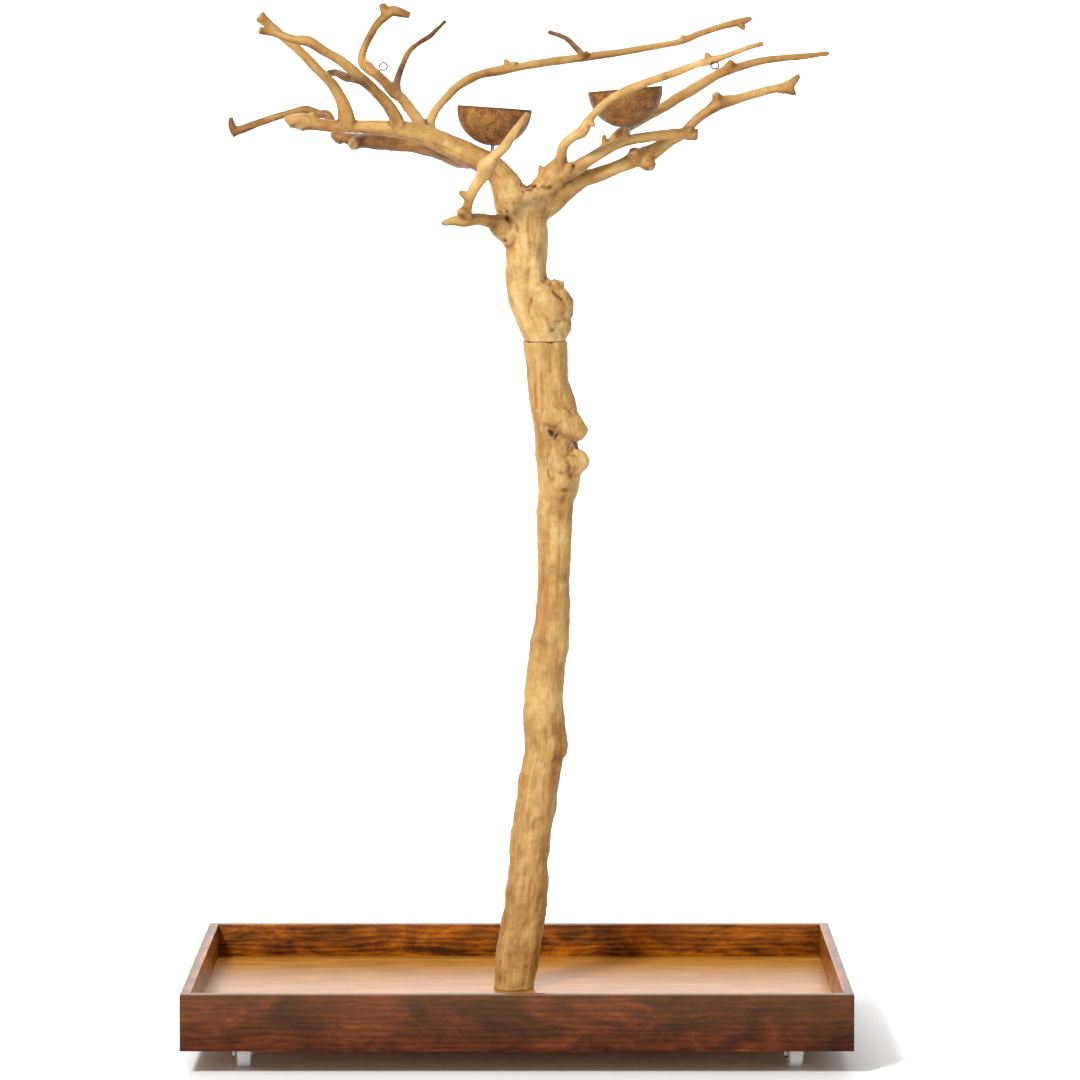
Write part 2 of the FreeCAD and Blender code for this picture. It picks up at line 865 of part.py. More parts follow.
def on_cup_axis(thing, ring, tilt, height):
    """Stand a thing on a cup's leaning axis, at a height above the middle of the ring below it."""
    thing.Placement = Placement(Vector(), Rotation(Vector(0, 1, 0), value_of(tilt)))
    place(
        thing,
        "%s.Placement.Base.x + sin(%s) * (%s)" % (ring, tilt, height),
        "%s.Placement.Base.y" % ring,
        "%s.Placement.Base.z + cos(%s) * (%s)" % (ring, tilt, height),
    )


def cup(label, ring, tilt):
    """Half a coconut shell: a quarter arc and a short straight lip, turned about the cup's axis."""
    body = doc.addObject("PartDesign::Body", label)
    profile = sketch_on(body, "XZ_Plane", label + "_profile")
    radius = value_of("Sizes.cup_radius")
    wall = value_of("Sizes.cup_wall")
    lip = value_of("Sizes.cup_lip")
    middle = Vector(0, radius, 0)
    foot = Vector(0, 0, 0)
    side = Vector(radius, radius, 0)
    rim_out = Vector(radius, radius + lip, 0)
    rim_in = Vector(radius - wall, radius + lip, 0)
    inner_side = Vector(radius - wall, radius, 0)
    inner_foot = Vector(0, wall, 0)

    def quarter(size):
        """The quarter arc from the foot up to the side."""
        ring_of_arc = Part.Circle(middle, Vector(0, 0, 1), size)
        return Part.ArcOfCircle(ring_of_arc, -math.pi / 2, 0)

    profile.addGeometry(quarter(radius))
    profile.addGeometry(Part.LineSegment(side, rim_out))
    profile.addGeometry(Part.LineSegment(rim_out, rim_in))
    profile.addGeometry(Part.LineSegment(rim_in, inner_side))
    profile.addGeometry(quarter(radius - wall))
    profile.addGeometry(Part.LineSegment(inner_foot, foot))
    join = Sketcher.Constraint
    for first, second in (((0, 2), (1, 1)), ((1, 2), (2, 1)), ((2, 2), (3, 1)), ((3, 2), (4, 2)),
                          ((4, 1), (5, 1)), ((5, 2), (0, 1)), ((0, 3), (4, 3))):
        profile.addConstraint(join("Coincident", first[0], first[1], second[0], second[1]))
    profile.addConstraint(join("Coincident", 5, 2, -1, 1))
    profile.addConstraint(join("PointOnObject", 0, 3, -2))
    profile.addConstraint(join("Vertical", 1))
    profile.addConstraint(join("Horizontal", 2))
    profile.addConstraint(join("Vertical", 3))
    profile.addConstraint(join("Vertical", 5))
    profile.addConstraint(join("Horizontal", 0, 3, 0, 2))
    profile.addConstraint(join("Horizontal", 4, 3, 4, 2))
    for constraint, name, formula in (
        (join("Radius", 0, radius), "outer_radius", "Sizes.cup_radius"),
        (join("Radius", 4, radius - wall), "inner_radius", "Sizes.cup_radius - Sizes.cup_wall"),
        (join("DistanceY", 1, 1, 1, 2, lip), "lip_height", "Sizes.cup_lip"),
    ):
        index = profile.addConstraint(constraint)
        profile.renameConstraint(index, name)
        profile.setExpression("Constraints." + name, formula)

    turned = body.newObject("PartDesign::Revolution", label + "_shell")
    turned.Profile = profile
    turned.ReferenceAxis = (profile, ["V_Axis"])
    turned.Angle = 360
    hole = sketch_on(body, "XY_Plane", label + "_hole_plan")
    circle(hole, "0", "0", SCREW_BORE)
    pocket(body, hole, THROUGH, label + "_hole")
    on_cup_axis(body, ring, tilt, "%s.Circumradius + Sizes.cup_stand_off * 1 mm" % ring)
    return keep(body, label)


# The flat washer rests by its edge in the round foot of the shell, this far above the foot.
CUP_INSIDE = "(Sizes.cup_radius - Sizes.cup_wall)"
WASHER_LIFT = "(%s - sqrt(%s^2 - (Sizes.cup_washer_dia / 2)^2))" % (CUP_INSIDE, CUP_INSIDE)


def cup_screw_bore(name, ring, tilt):
    """The hole in the limb for the cup's screw."""
    bore = doc.addObject("Part::Cylinder", name)
    bind(bore, Radius="(%s) / 2" % SCREW_BORE, Height="2 * Sizes.cup_screw_bite")
    on_cup_axis(bore, ring, tilt, "%s.Circumradius - Sizes.cup_screw_bite * 1 mm" % ring)
    return bore


def cup_fixing(label, ring, tilt):
    """The screw through the cup's foot into the wood, and the washer under its head."""
    disc = rod(label + "_washer_disc", "Sizes.cup_washer_dia", "Sizes.cup_washer_thick")
    hole = rod(label + "_washer_hole", SCREW_BORE, "Sizes.cup_washer_thick")
    washer = cut(label + "_washer_ring", disc, hole)
    seat = "%s.Circumradius + (Sizes.cup_stand_off + Sizes.cup_wall + %s) * 1 mm" % (ring, WASHER_LIFT)
    on_cup_axis(washer, ring, tilt, seat)
    keep(washer, label + "_washer")

    above = "Sizes.cup_stand_off + Sizes.cup_wall + %s + Sizes.cup_washer_thick" % WASHER_LIFT
    length = "Sizes.cup_screw_bite + " + above
    shank = rod(label + "_shank", "Sizes.cup_screw_dia", length)
    head = rod(label + "_head", "Sizes.cup_screw_head_dia", "Sizes.cup_screw_head_thick", z=length)
    screw = fused(label + "_whole_screw", [shank, head])
    on_cup_axis(screw, ring, tilt, "%s.Circumradius - Sizes.cup_screw_bite * 1 mm" % ring)
    keep(screw, label + "_screw")


def lean_out(thing, ring, lean, height):
    """Stand a thing on a line that leans forward and to the right from the middle of a ring."""
    forward, right = lean
    forward_turn = Rotation(Vector(1, 0, 0), value_of(forward))
    right_turn = Rotation(Vector(0, 1, 0), value_of(right))
    thing.Placement = Placement(Vector(), right_turn.multiply(forward_turn))
    place(
        thing,
        "%s.Placement.Base.x + cos(%s) * sin(%s) * (%s)" % (ring, forward, right, height),
        "%s.Placement.Base.y - sin(%s) * (%s)" % (ring, forward, height),
        "%s.Placement.Base.z + cos(%s) * cos(%s) * (%s)" % (ring, forward, right, height),
    )


def eye_bore(name, ring, lean):
    """The pilot hole of a screw eye."""
    bore = doc.addObject("Part::Cylinder", name)
    bind(bore, Radius="Sizes.eye_wire / 2 + Sizes.screw_hole_slack", Height="2 * Sizes.eye_shank")
    lean_out(bore, ring, lean, "%s.Circumradius - (Sizes.eye_shank + Sizes.screw_hole_slack) * 1 mm" % ring)
    return bore


def screw_eye(label, ring, lean):
    """A round wire eye on a straight shank, screwed into a branch to hang a toy from."""
    straight = "Sizes.eye_shank + Sizes.eye_stand_off"
    shank = rod(label + "_shank", "Sizes.eye_wire", straight + " + Sizes.eye_wire / 2")
    wire = doc.addObject("Part::RegularPolygon", label + "_wire")
    wire.Polygon = WIRE_SIDES
    bind(wire, Circumradius="Sizes.eye_wire / 2")
    wire.Placement = Placement(Vector(), Rotation(Vector(1, 0, 0), 90))
    place(wire, x="(Sizes.eye_dia - Sizes.eye_wire) / 2")
    loop = doc.addObject("Part::Revolution", label + "_loop")
    loop.Source = wire
    loop.Axis = Vector(0, 0, 1)
    loop.Angle = 360
    loop.Solid = True
    loop.Placement = Placement(Vector(), Rotation(Vector(1, 0, 0), 90))
    place(loop, z=straight + " + Sizes.eye_dia / 2")
    eye = fused(label + "_whole", [shank, loop])
    lean_out(eye, ring, lean, "%s.Circumradius - Sizes.eye_shank * 1 mm" % ring)
    keep(eye, label)


LEFT_CUP_RING = "left_main_limb_ring_2"
RIGHT_CUP_RING = "right_cup_branch_ring_4"
LEFT_EYE_RING = "left_back_branch_ring_4"
RIGHT_EYE_RING = "right_front_branch_ring_8"
LEFT_EYE_LEAN = ("Sizes.left_eye_forward", "Sizes.left_eye_right")
RIGHT_EYE_LEAN = ("Sizes.right_eye_forward", "Sizes.right_eye_right")

# ---------------------------------------------------------------------------------------------
# The solids of the tree, from the foot outward
# ---------------------------------------------------------------------------------------------
STUD_BORE_DEPTH = "Sizes.stud_bite + Sizes.bore_slack"
foot_bore = rod(
    "foot_bore", BOLT_BORE, "Sizes.bolt_bite + Sizes.bore_slack", "Sizes.trunk_x", "Sizes.trunk_y", FLOOR_TOP
)
seam_bore = rod(
    "seam_bore", BOLT_BORE, "2 * (%s)" % STUD_BORE_DEPTH, seam[0], seam[1],
    "%s - (%s) * 1 mm" % (seam[2], STUD_BORE_DEPTH),
)
stud = rod(
    "seam_stud", "Sizes.bolt_dia", "2 * Sizes.stud_bite", seam[0], seam[1],
    "%s - Sizes.stud_bite * 1 mm" % seam[2],
)

wooden(lower_trunk, trunk_burls, bore=fused("trunk_bores", [foot_bore, seam_bore]))
wooden(crown_stem, stem_burls, bore=seam_bore)
keep(stud, "crown_stud")
left_cup_bore = cup_screw_bore("left_cup_bore", LEFT_CUP_RING, "Sizes.left_cup_tilt")
right_cup_bore = cup_screw_bore("right_cup_bore", RIGHT_CUP_RING, "Sizes.right_cup_tilt")
left_eye_bore = eye_bore("left_eye_bore", LEFT_EYE_RING, LEFT_EYE_LEAN)
right_eye_bore = eye_bore("right_eye_bore", RIGHT_EYE_RING, RIGHT_EYE_LEAN)

wooden(left_main_limb, inside=[crown_stem], bore=left_cup_bore)
wooden(right_knuckle, inside=[crown_stem, left_main_limb])
wooden(front_spur, inside=[crown_stem, left_main_limb])
wooden(front_perch, perch_stubs, inside=[front_spur])
wooden(left_low_branch, low_branch_stubs, inside=[left_main_limb])
wooden(long_arch_branch, arch_bud, inside=[left_main_limb])
wooden(left_back_branch, inside=[left_main_limb, long_arch_branch], bore=left_eye_bore)
wooden(left_mid_branch, inside=[left_main_limb])
wooden(left_tip_branch, inside=[left_main_limb])
wooden(left_mid_twig, inside=[left_mid_branch])
wooden(left_back_twig, inside=[left_back_branch])
wooden(arch_twig, inside=[long_arch_branch])
wooden(right_low_branch, inside=[crown_stem, right_knuckle, left_main_limb])
wooden(right_front_branch, inside=[right_knuckle], bore=right_eye_bore)
wooden(right_cup_branch, inside=[right_knuckle, right_front_branch, right_low_branch], bore=right_cup_bore)
wooden(right_back_branch, inside=[right_cup_branch])

cup("left_cup", LEFT_CUP_RING, "Sizes.left_cup_tilt")
cup_fixing("left_cup", LEFT_CUP_RING, "Sizes.left_cup_tilt")
cup("right_cup", RIGHT_CUP_RING, "Sizes.right_cup_tilt")
cup_fixing("right_cup", RIGHT_CUP_RING, "Sizes.right_cup_tilt")
screw_eye("left_screw_eye", LEFT_EYE_RING, LEFT_EYE_LEAN)
screw_eye("right_screw_eye", RIGHT_EYE_RING, RIGHT_EYE_LEAN)

# ---------------------------------------------------------------------------------------------
# Casters: a plate under the floor, a fork that swivels on a kingpin, and a wheel on an axle
# that trails in front of the kingpin
# ---------------------------------------------------------------------------------------------
FORK_TOP = PLATE_BOTTOM + " - Sizes.race_gap - Sizes.race_height"
CROWN_UNDERSIDE = FORK_TOP + " - Sizes.fork_steel"
WHEEL_ROOM = "(Sizes.wheel_width + 2 * Sizes.wheel_side_gap)"
FORK_WIDTH = "(%s + 2 * Sizes.fork_steel)" % WHEEL_ROOM
KINGPIN_BORE = "Sizes.kingpin_dia + 2 * Sizes.running_gap"
AXLE_HEIGHT = "Sizes.wheel_dia / 2"
LUG_CORNER = "Sizes.fork_lug_dia / 2 * cos(45)"


def caster_plate(name, x, y):
    """The square plate with its four screw holes."""
    side = "Sizes.plate_length"
    board = box(name + "_sheet", side, side, "Sizes.plate_thick", z=PLATE_BOTTOM)
    places = [("%d * %s" % (i, PLATE_SCREW_OUT), "%d * %s" % (j, PLATE_SCREW_OUT)) for i, j in SQUARE]
    holes = upright_holes(name + "_hole", places, PILOT, PLATE_BOTTOM, "Sizes.plate_thick")
    middle = rod(name + "_middle", KINGPIN_BORE, "Sizes.plate_thick", z=PLATE_BOTTOM)
    plate = cut(name + "_drilled", board, fused(name + "_all_holes", [holes, middle]))
    place(plate, x, y)
    keep(plate, name)


def caster_kingpin(name, x, y):
    """The rivet that holds the fork up to the plate."""
    low = "%s - Sizes.race_gap - Sizes.kingpin_head_thick" % CROWN_UNDERSIDE
    head = rod(name + "_head", "Sizes.kingpin_head_dia", "Sizes.kingpin_head_thick", z=low)
    shank = rod(name + "_shank", "Sizes.kingpin_dia", "Sizes.caster_height - (%s)" % low, z=low)
    pin = fused(name + "_whole", [head, shank])
    place(pin, x, y)
    keep(pin, name)


def caster_fork(name, x, y):
    """A pressed fork: two cheeks that sweep forward to the axle, and a ball race on the crown."""
    body = doc.addObject("PartDesign::Body", name)
    cheeks = sketch_on(body, "YZ_Plane", name + "_cheeks")
    half = "Sizes.fork_crown_length / 2"
    outline(
        cheeks,
        [
            ("-" + half, FORK_TOP),
            (half, FORK_TOP),
            (half, FORK_TOP + " - Sizes.fork_skirt"),
            ("-Sizes.caster_trail + " + LUG_CORNER, AXLE_HEIGHT + " - " + LUG_CORNER),
            ("-Sizes.caster_trail - Sizes.fork_lug_dia / 2", AXLE_HEIGHT),
        ],
    )
    pad(body, cheeks, FORK_WIDTH, name + "_cheek_block", both_ways=True)
    lug = sketch_on(body, "YZ_Plane", name + "_lug_plan")
    circle(lug, "-Sizes.caster_trail", AXLE_HEIGHT, "Sizes.fork_lug_dia")
    pad(body, lug, FORK_WIDTH, name + "_lug", both_ways=True)
    room = sketch_on(body, "XZ_Plane", name + "_room_plan")
    side = WHEEL_ROOM + " / 2"
    outline(room, [("-" + side, "0"), (side, "0"), (side, CROWN_UNDERSIDE), ("-" + side, CROWN_UNDERSIDE)])
    pocket(body, room, THROUGH, name + "_room")
    race = sketch_on(body, "XY_Plane", name + "_race_plan", height=FORK_TOP)
    circle(race, "0", "0", "Sizes.race_dia")
    pad(body, race, "Sizes.race_height", name + "_race")
    pin_hole = sketch_on(body, "XY_Plane", name + "_pin_plan")
    circle(pin_hole, "0", "0", KINGPIN_BORE)
    pocket(body, pin_hole, THROUGH, name + "_pin_hole")
    axle_hole = sketch_on(body, "YZ_Plane", name + "_axle_plan")
    circle(axle_hole, "-Sizes.caster_trail", AXLE_HEIGHT, "Sizes.axle_dia + 2 * Sizes.running_gap")
    pocket(body, axle_hole, THROUGH, name + "_axle_hole")
    body.Placement = Placement(Vector(), Rotation(Vector(0, 0, 1), value_of("Sizes.caster_yaw")))
    place(body, x, y)
    keep(body, name)


def on_axle(thing, x, y, turn):
    """Put a thing at the middle of the axle, turned about its own axes first."""
    yaw = Rotation(Vector(0, 0, 1), value_of("Sizes.caster_yaw"))
    thing.Placement = Placement(Vector(), yaw.multiply(turn))
    place(
        thing,
        "%s + sin(Sizes.caster_yaw) * Sizes.caster_trail" % x,
        "%s - cos(Sizes.caster_yaw) * Sizes.caster_trail" % y,
        AXLE_HEIGHT,
    )


def caster_wheel(name, x, y):
    """A nylon wheel turned from one profile: bore, hub, dished web, rim and eased tread."""
    body = doc.addObject("PartDesign::Body", name)
    profile = sketch_on(body, "XZ_Plane", name + "_profile")
    bore = "Sizes.axle_dia / 2 + Sizes.running_gap"
    hub = "Sizes.wheel_hub_dia / 2"
    rim = "Sizes.wheel_dia / 2 - Sizes.wheel_rim_wall"
    tread = "Sizes.wheel_dia / 2"
    half = "Sizes.wheel_width / 2"
    right_side = [
        (half, bore),
        (half, hub),
        (half + " - Sizes.wheel_dish_depth", hub + " + Sizes.wheel_dish_depth / 2"),
        (half + " - Sizes.wheel_dish_depth", rim + " - Sizes.wheel_dish_depth / 2"),
        (half, rim),
        (half, tread + " - Sizes.wheel_chamfer"),
        (half + " - Sizes.wheel_chamfer", tread),
    ]
    left_side = [("-(%s)" % along, height) for along, height in reversed(right_side)]
    outline(profile, right_side + left_side)
    turned = body.newObject("PartDesign::Revolution", name + "_turned")
    turned.Profile = profile
    turned.ReferenceAxis = (profile, ["H_Axis"])
    turned.Angle = 360
    on_axle(body, x, y, Rotation())
    keep(body, name)


def caster_axle(name, x, y):
    """The axle: a shank through both cheeks, a hexagon head and a riveted end."""
    middle = "-%s / 2" % FORK_WIDTH
    shank = rod(name + "_shank", "Sizes.axle_dia", FORK_WIDTH, z=middle)
    outer = middle + " - Sizes.axle_head_thick"
    head = hexagon(name + "_head", "Sizes.axle_head_flats", "Sizes.axle_head_thick", z=outer)
    rivet = rod(name + "_rivet", "Sizes.axle_rivet_dia", "Sizes.axle_rivet_thick", z=FORK_WIDTH + " / 2")
    axle = fused(name + "_whole", [shank, head, rivet])
    on_axle(axle, x, y, Rotation(Vector(0, 1, 0), 90))
    keep(axle, name)


for corner in CASTER_CORNERS:
    x, y = corner_place(corner)
    caster_plate("%s_caster_plate" % corner, x, y)
    caster_kingpin("%s_kingpin" % corner, x, y)
    caster_fork("%s_fork" % corner, x, y)
    caster_wheel("%s_wheel" % corner, x, y)
    caster_axle("%s_axle" % corner, x, y)

# ---------------------------------------------------------------------------------------------
# Test every object, then write each piece
# ---------------------------------------------------------------------------------------------
doc.recompute()
failed = [item.Name for item in doc.Objects if "Invalid" in item.State or "Error" in item.State]
failed += [node.Label for node in NODES if node.Shape.isNull() or not node.Shape.isValid()]
if failed:
    raise RuntimeError("These objects failed: " + ", ".join(failed))

os.makedirs("parts", exist_ok=True)
for node in NODES:
    node.Shape.exportStep("parts/%s.step" % node.Label)
print("%d pieces" % len(NODES))
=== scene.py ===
# %% [markdown]
# # A parrot play stand
#
# A branched piece of hardwood stands in a wooden tray on four small casters. Two half coconut
# shells serve as food cups, and two wire eyes hold toys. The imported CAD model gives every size
# and place. Each cell below gives one piece, or one finish, the look of the real thing.
#
# Lengths are in metres and +Z is up. Every new piece is a surface worked out with numpy.

# %% Load the frame
import math

import bmesh
import bpy
import numpy as np
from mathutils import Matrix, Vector


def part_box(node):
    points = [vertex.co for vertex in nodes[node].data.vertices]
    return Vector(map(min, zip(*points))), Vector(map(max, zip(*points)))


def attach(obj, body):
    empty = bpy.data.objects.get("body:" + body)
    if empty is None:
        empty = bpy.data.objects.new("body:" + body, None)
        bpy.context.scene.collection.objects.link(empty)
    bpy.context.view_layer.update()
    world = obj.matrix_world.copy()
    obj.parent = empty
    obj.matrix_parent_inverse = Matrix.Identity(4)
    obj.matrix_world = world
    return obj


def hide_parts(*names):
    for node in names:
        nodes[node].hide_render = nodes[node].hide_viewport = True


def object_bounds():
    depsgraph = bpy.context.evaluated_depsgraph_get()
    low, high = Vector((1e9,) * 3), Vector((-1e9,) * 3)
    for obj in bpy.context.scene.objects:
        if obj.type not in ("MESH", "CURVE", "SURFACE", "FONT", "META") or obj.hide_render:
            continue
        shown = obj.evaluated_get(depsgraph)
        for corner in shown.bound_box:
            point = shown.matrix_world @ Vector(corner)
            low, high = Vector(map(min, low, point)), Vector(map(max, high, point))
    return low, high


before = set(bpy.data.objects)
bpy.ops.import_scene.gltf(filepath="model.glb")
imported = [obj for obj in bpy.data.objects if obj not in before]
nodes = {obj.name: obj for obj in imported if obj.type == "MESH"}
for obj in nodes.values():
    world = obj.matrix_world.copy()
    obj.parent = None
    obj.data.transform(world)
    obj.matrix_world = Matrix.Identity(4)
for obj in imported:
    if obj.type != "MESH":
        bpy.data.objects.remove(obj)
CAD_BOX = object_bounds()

MM = 0.001
print("the frame has", len(nodes), "nodes, and its box is", CAD_BOX)

# %% [markdown]
# ## Meshes from arrays
#
# A grid of points becomes a mesh by joining each point to its neighbours. Where the grid runs
# round a piece, its last column is joined to its first. A cap closes an end with one middle point.

# %% Grids to meshes
def grid_faces(rows, columns, around):
    """Quads of a grid, as an array: corner, next along, next along and across, next across."""
    last = columns if around else columns - 1
    i, j = np.meshgrid(np.arange(rows - 1), np.arange(last), indexing="ij")
    k = (j + 1) % columns
    corners = [i * columns + j, i * columns + k, (i + 1) * columns + k, (i + 1) * columns + j]
    return np.stack(corners, -1).reshape(-1, 4)


def capped(grid, around=True, caps=(True, True)):
    """Vertices and faces of one grid; a capped end gets a fan of triangles to its middle."""
    rows, columns = grid.shape[:2]
    points = [grid.reshape(-1, 3)]
    quads = grid_faces(rows, columns, around)
    triangles = []
    count = rows * columns
    ring = np.arange(columns)
    for wanted, row in zip(caps, (0, rows - 1)):
        if not wanted:
            continue
        points.append(grid[row].mean(0, keepdims=True))
        one = row * columns + ring
        two = row * columns + (ring + 1) % columns
        middle = np.full(columns, count)
        order = (two, one, middle) if row == 0 else (one, two, middle)
        triangles.append(np.stack(order, -1))
        count += 1
    fans = np.concatenate(triangles) if triangles else np.zeros((0, 3), int)
    return np.concatenate(points), quads, fans


def together(parts):
    """Several (vertices, quads, fans) made one."""
    start = 0
    out = ([], [], [])
    for points, quads, fans in parts:
        out[0].append(points)
        out[1].append(quads + start)
        out[2].append(fans + start)
        start += len(points)
    return tuple(np.concatenate(group) for group in out)


def shade_smooth(mesh):
    mesh.polygons.foreach_set("use_smooth", [True] * len(mesh.polygons))


def mesh_of(name, parts):
    """A smoothly shaded mesh from a list of (vertices, quads, fans), its faces turned outwards."""
    points, quads, fans = together(parts)
    mesh = bpy.data.meshes.new(name)
    mesh.from_pydata(points.tolist(), [], quads.tolist() + fans.tolist())
    work = bmesh.new()
    work.from_mesh(mesh)
    bmesh.ops.recalc_face_normals(work, faces=work.faces)
    work.to_mesh(mesh)
    work.free()
    shade_smooth(mesh)
    mesh.update()
    return mesh


def piece(name, mesh, material, body, stands_for=()):
    """A finished object: its finish, the body it rides on and the nodes it stands for."""
    thing = bpy.data.objects.new(name, mesh)
    bpy.context.scene.collection.objects.link(thing)
    mesh.materials.append(material)
    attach(thing, body)
    if stands_for:
        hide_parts(*stands_for)
    print(name, "has", len(mesh.polygons), "faces and rides on", body)
    return thing


# %% [markdown]
# ## Outlines, turned pieces and bent bars
#
# Most hardware is turned on a lathe or bent from a bar. A turned piece is an outline of radius
# and height carried round an axis. A bar is a ring carried along a line. An outline's corners
# are eased, because no real edge is perfectly sharp and an eased edge catches the light.

# %% Outlines and sweeps
def eased(corners, radius, steps=4, closed=True):
    """An outline whose corners are rounded by arcs.

    Each corner is left at a distance before and after it, and the arc between is the quadratic
    curve (1-t)^2 a + 2t(1-t) b + t^2 c. A corner's radius is one number or one for each corner.
    """
    corners = np.asarray(corners, float)
    count = len(corners)
    radii = np.broadcast_to(np.asarray(radius, float), count)
    t = np.linspace(0, 1, steps + 1)[:, None]
    out = []
    for i in range(count):
        here = corners[i]
        if radii[i] <= 0 or (not closed and i in (0, count - 1)):
            out.append(here[None])
            continue
        before = corners[i - 1] - here
        after = corners[(i + 1) % count] - here
        a = here + before * min(radii[i] / np.linalg.norm(before), 0.5)
        c = here + after * min(radii[i] / np.linalg.norm(after), 0.5)
        out.append((1 - t) ** 2 * a + 2 * t * (1 - t) * here + t**2 * c)
    return np.concatenate(out)


def held_flat(outline, margin=0.4 * MM):
    """The same outline with a point close to each end of every long straight run.

    The shading of a flat face blends over a whole quad, so a narrow quad beside each eased edge
    keeps the rest of the face truly flat.
    """
    out = []
    for here, after in zip(outline, np.roll(outline, -1, axis=0)):
        run = np.linalg.norm(after - here)
        out.append(here)
        if run > 6 * margin:
            out.append(here + (after - here) * margin / run)
            out.append(after + (here - after) * margin / run)
    return np.array(out)


def turned(outline, sides=48):
    """Point = (radius cos a, radius sin a, height), for each outline point and angle a."""
    angle = np.linspace(0, 2 * np.pi, sides, endpoint=False)
    radius, height = outline[:, :1], outline[:, 1:]
    return np.stack([radius * np.cos(angle), radius * np.sin(angle), height + 0 * angle], -1)


def unit(vectors):
    return vectors / np.maximum(np.linalg.norm(vectors, axis=-1, keepdims=True), 1e-12)


def frames_along(line):
    """The tangent at each point of a line, and two directions square to it.

    The first is the axis that the line follows least, less its part along the tangent, so it
    never flips. The second is the cross product of the two.
    """
    tangent = unit(np.gradient(line, axis=0))
    axis = np.eye(3)[np.abs(tangent).max(0).argmin()]
    first = unit(axis - (tangent @ axis)[:, None] * tangent)
    return tangent, first, np.cross(tangent, first)


def bar(line, radius, sides=16):
    """Point = centre + radius (cos a first + sin a second), a ring carried along a line."""
    tangent, first, second = frames_along(line)
    angle = np.linspace(0, 2 * np.pi, sides, endpoint=False)[None, :, None]
    ring = np.cos(angle) * first[:, None] + np.sin(angle) * second[:, None]
    radius = np.broadcast_to(np.asarray(radius, float), len(line))[:, None, None]
    return line[:, None] + radius * ring


def turn_and_move(points, matrix, place):
    """Each point is turned by the matrix, then moved to its place."""
    return points @ np.asarray(matrix).T + np.asarray(place)


def about(axis, degrees):
    """The matrix of a turn about x, y or z."""
    c, s = math.cos(math.radians(degrees)), math.sin(math.radians(degrees))
    return {
        "x": np.array([[1, 0, 0], [0, c, -s], [0, s, c]]),
        "y": np.array([[c, 0, s], [0, 1, 0], [-s, 0, c]]),
        "z": np.array([[c, -s, 0], [s, c, 0], [0, 0, 1]]),
    }[axis]


# %% [markdown]
# ## Steady noise
#
# Wood and shell are uneven in a way that looks random and must be the same on every run. Each
# cell of a lattice gets a number from its own whole-number place, and points between the cells
# blend the eight numbers round them.

# %% Noise
def cell_value(x, y, z, seed):
    """A number from -1 to 1 for each lattice cell, mixed from its place by multiply and shift."""
    mixed = x * np.uint32(374761393) + y * np.uint32(668265263) + z * np.uint32(2246822519)
    mixed = mixed + np.uint32(seed * 3266489 + 101)
    mixed = (mixed ^ (mixed >> np.uint32(13))) * np.uint32(1274126177)
    mixed = (mixed ^ (mixed >> np.uint32(16))) * np.uint32(2654435761)
    mixed = mixed ^ (mixed >> np.uint32(15))
    return mixed.astype(float) / 2147483647.5 - 1


def noise(points, seed):
    """Smooth noise of about -1 to 1: the corner values of a cell, blended by 3t^2 - 2t^3."""
    low = np.floor(points)
    t = points - low
    t = t * t * (3 - 2 * t)
    cell = low.astype(np.int64)
    total = 0
    for corner in np.ndindex(2, 2, 2):
        weight = np.prod(np.where(corner, t, 1 - t), -1)
        x, y, z = ((cell[..., k] + corner[k]).astype(np.uint32) for k in range(3))
        total = total + weight * cell_value(x, y, z, seed)
    return total


def rough(points, seed, octaves=3):
    """Noise plus finer noise: each octave is twice as fine and half as strong."""
    total = 0
    for octave in range(octaves):
        total = total + noise(points * 2**octave, seed + 17 * octave) / 2**octave
    return total


# %% [markdown]
# ## Studio
#
# The stand is seen on a plain pale floor that sweeps up into a plain wall, as paper does in a
# studio, so that no line shows behind it. The sweep is one outline of floor, quarter circle and
# wall, carried from side to side.

# %% Floor
scene = bpy.context.scene
scene.view_settings.view_transform = "Standard"


def plain_material(name, colour, roughness):
    material = bpy.data.materials.new(name)
    material.use_nodes = True
    shader = material.node_tree.nodes["Principled BSDF"]
    shader.inputs["Base Color"].default_value = (*colour, 1)
    shader.inputs["Roughness"].default_value = roughness
    return material


FLOOR_HALF = 14.0
SWEEP_START = 4.0
SWEEP_RADIUS = 3.0
WALL_TOP = 9.0
sweep_angle = np.linspace(0, np.pi / 2, 24)
curve_depth = SWEEP_START + SWEEP_RADIUS * np.sin(sweep_angle)
depth = np.concatenate([[-FLOOR_HALF], curve_depth, [SWEEP_START + SWEEP_RADIUS]])
height = np.concatenate([[0], SWEEP_RADIUS * (1 - np.cos(sweep_angle)), [WALL_TOP]])
across = np.array([-FLOOR_HALF, FLOOR_HALF])
sweep = np.stack(np.broadcast_arrays(across[None, :], depth[:, None], height[:, None]), -1)
floor_mesh = mesh_of("studio_sweep", [capped(sweep, around=False, caps=(False, False))])
floor_mesh.flip_normals()
floor = bpy.data.objects.new("studio_sweep", floor_mesh)
floor_mesh.materials.append(plain_material("studio_white", (0.94, 0.94, 0.94), 0.9))
scene.collection.objects.link(floor)
print("the floor is", 2 * FLOOR_HALF, "m wide, and its wall stands", WALL_TOP, "m high")

# %% [markdown]
# ## Light
#
# One square light at the left front gives the forms and the soft shadow. A wide weak one at the
# right keeps the dark side open, and one behind the stand washes the wall white. The world adds
# an even light from everywhere. A single strong light would be simpler, but its hard shadows
# would hide the wood.

# %% Lights
ROOM_LIGHT = 0.43
world = bpy.data.worlds.new("soft_white")
world.use_nodes = True
world.node_tree.nodes["Background"].inputs["Color"].default_value = (1, 1, 1, 1)
world.node_tree.nodes["Background"].inputs["Strength"].default_value = ROOM_LIGHT
scene.world = world

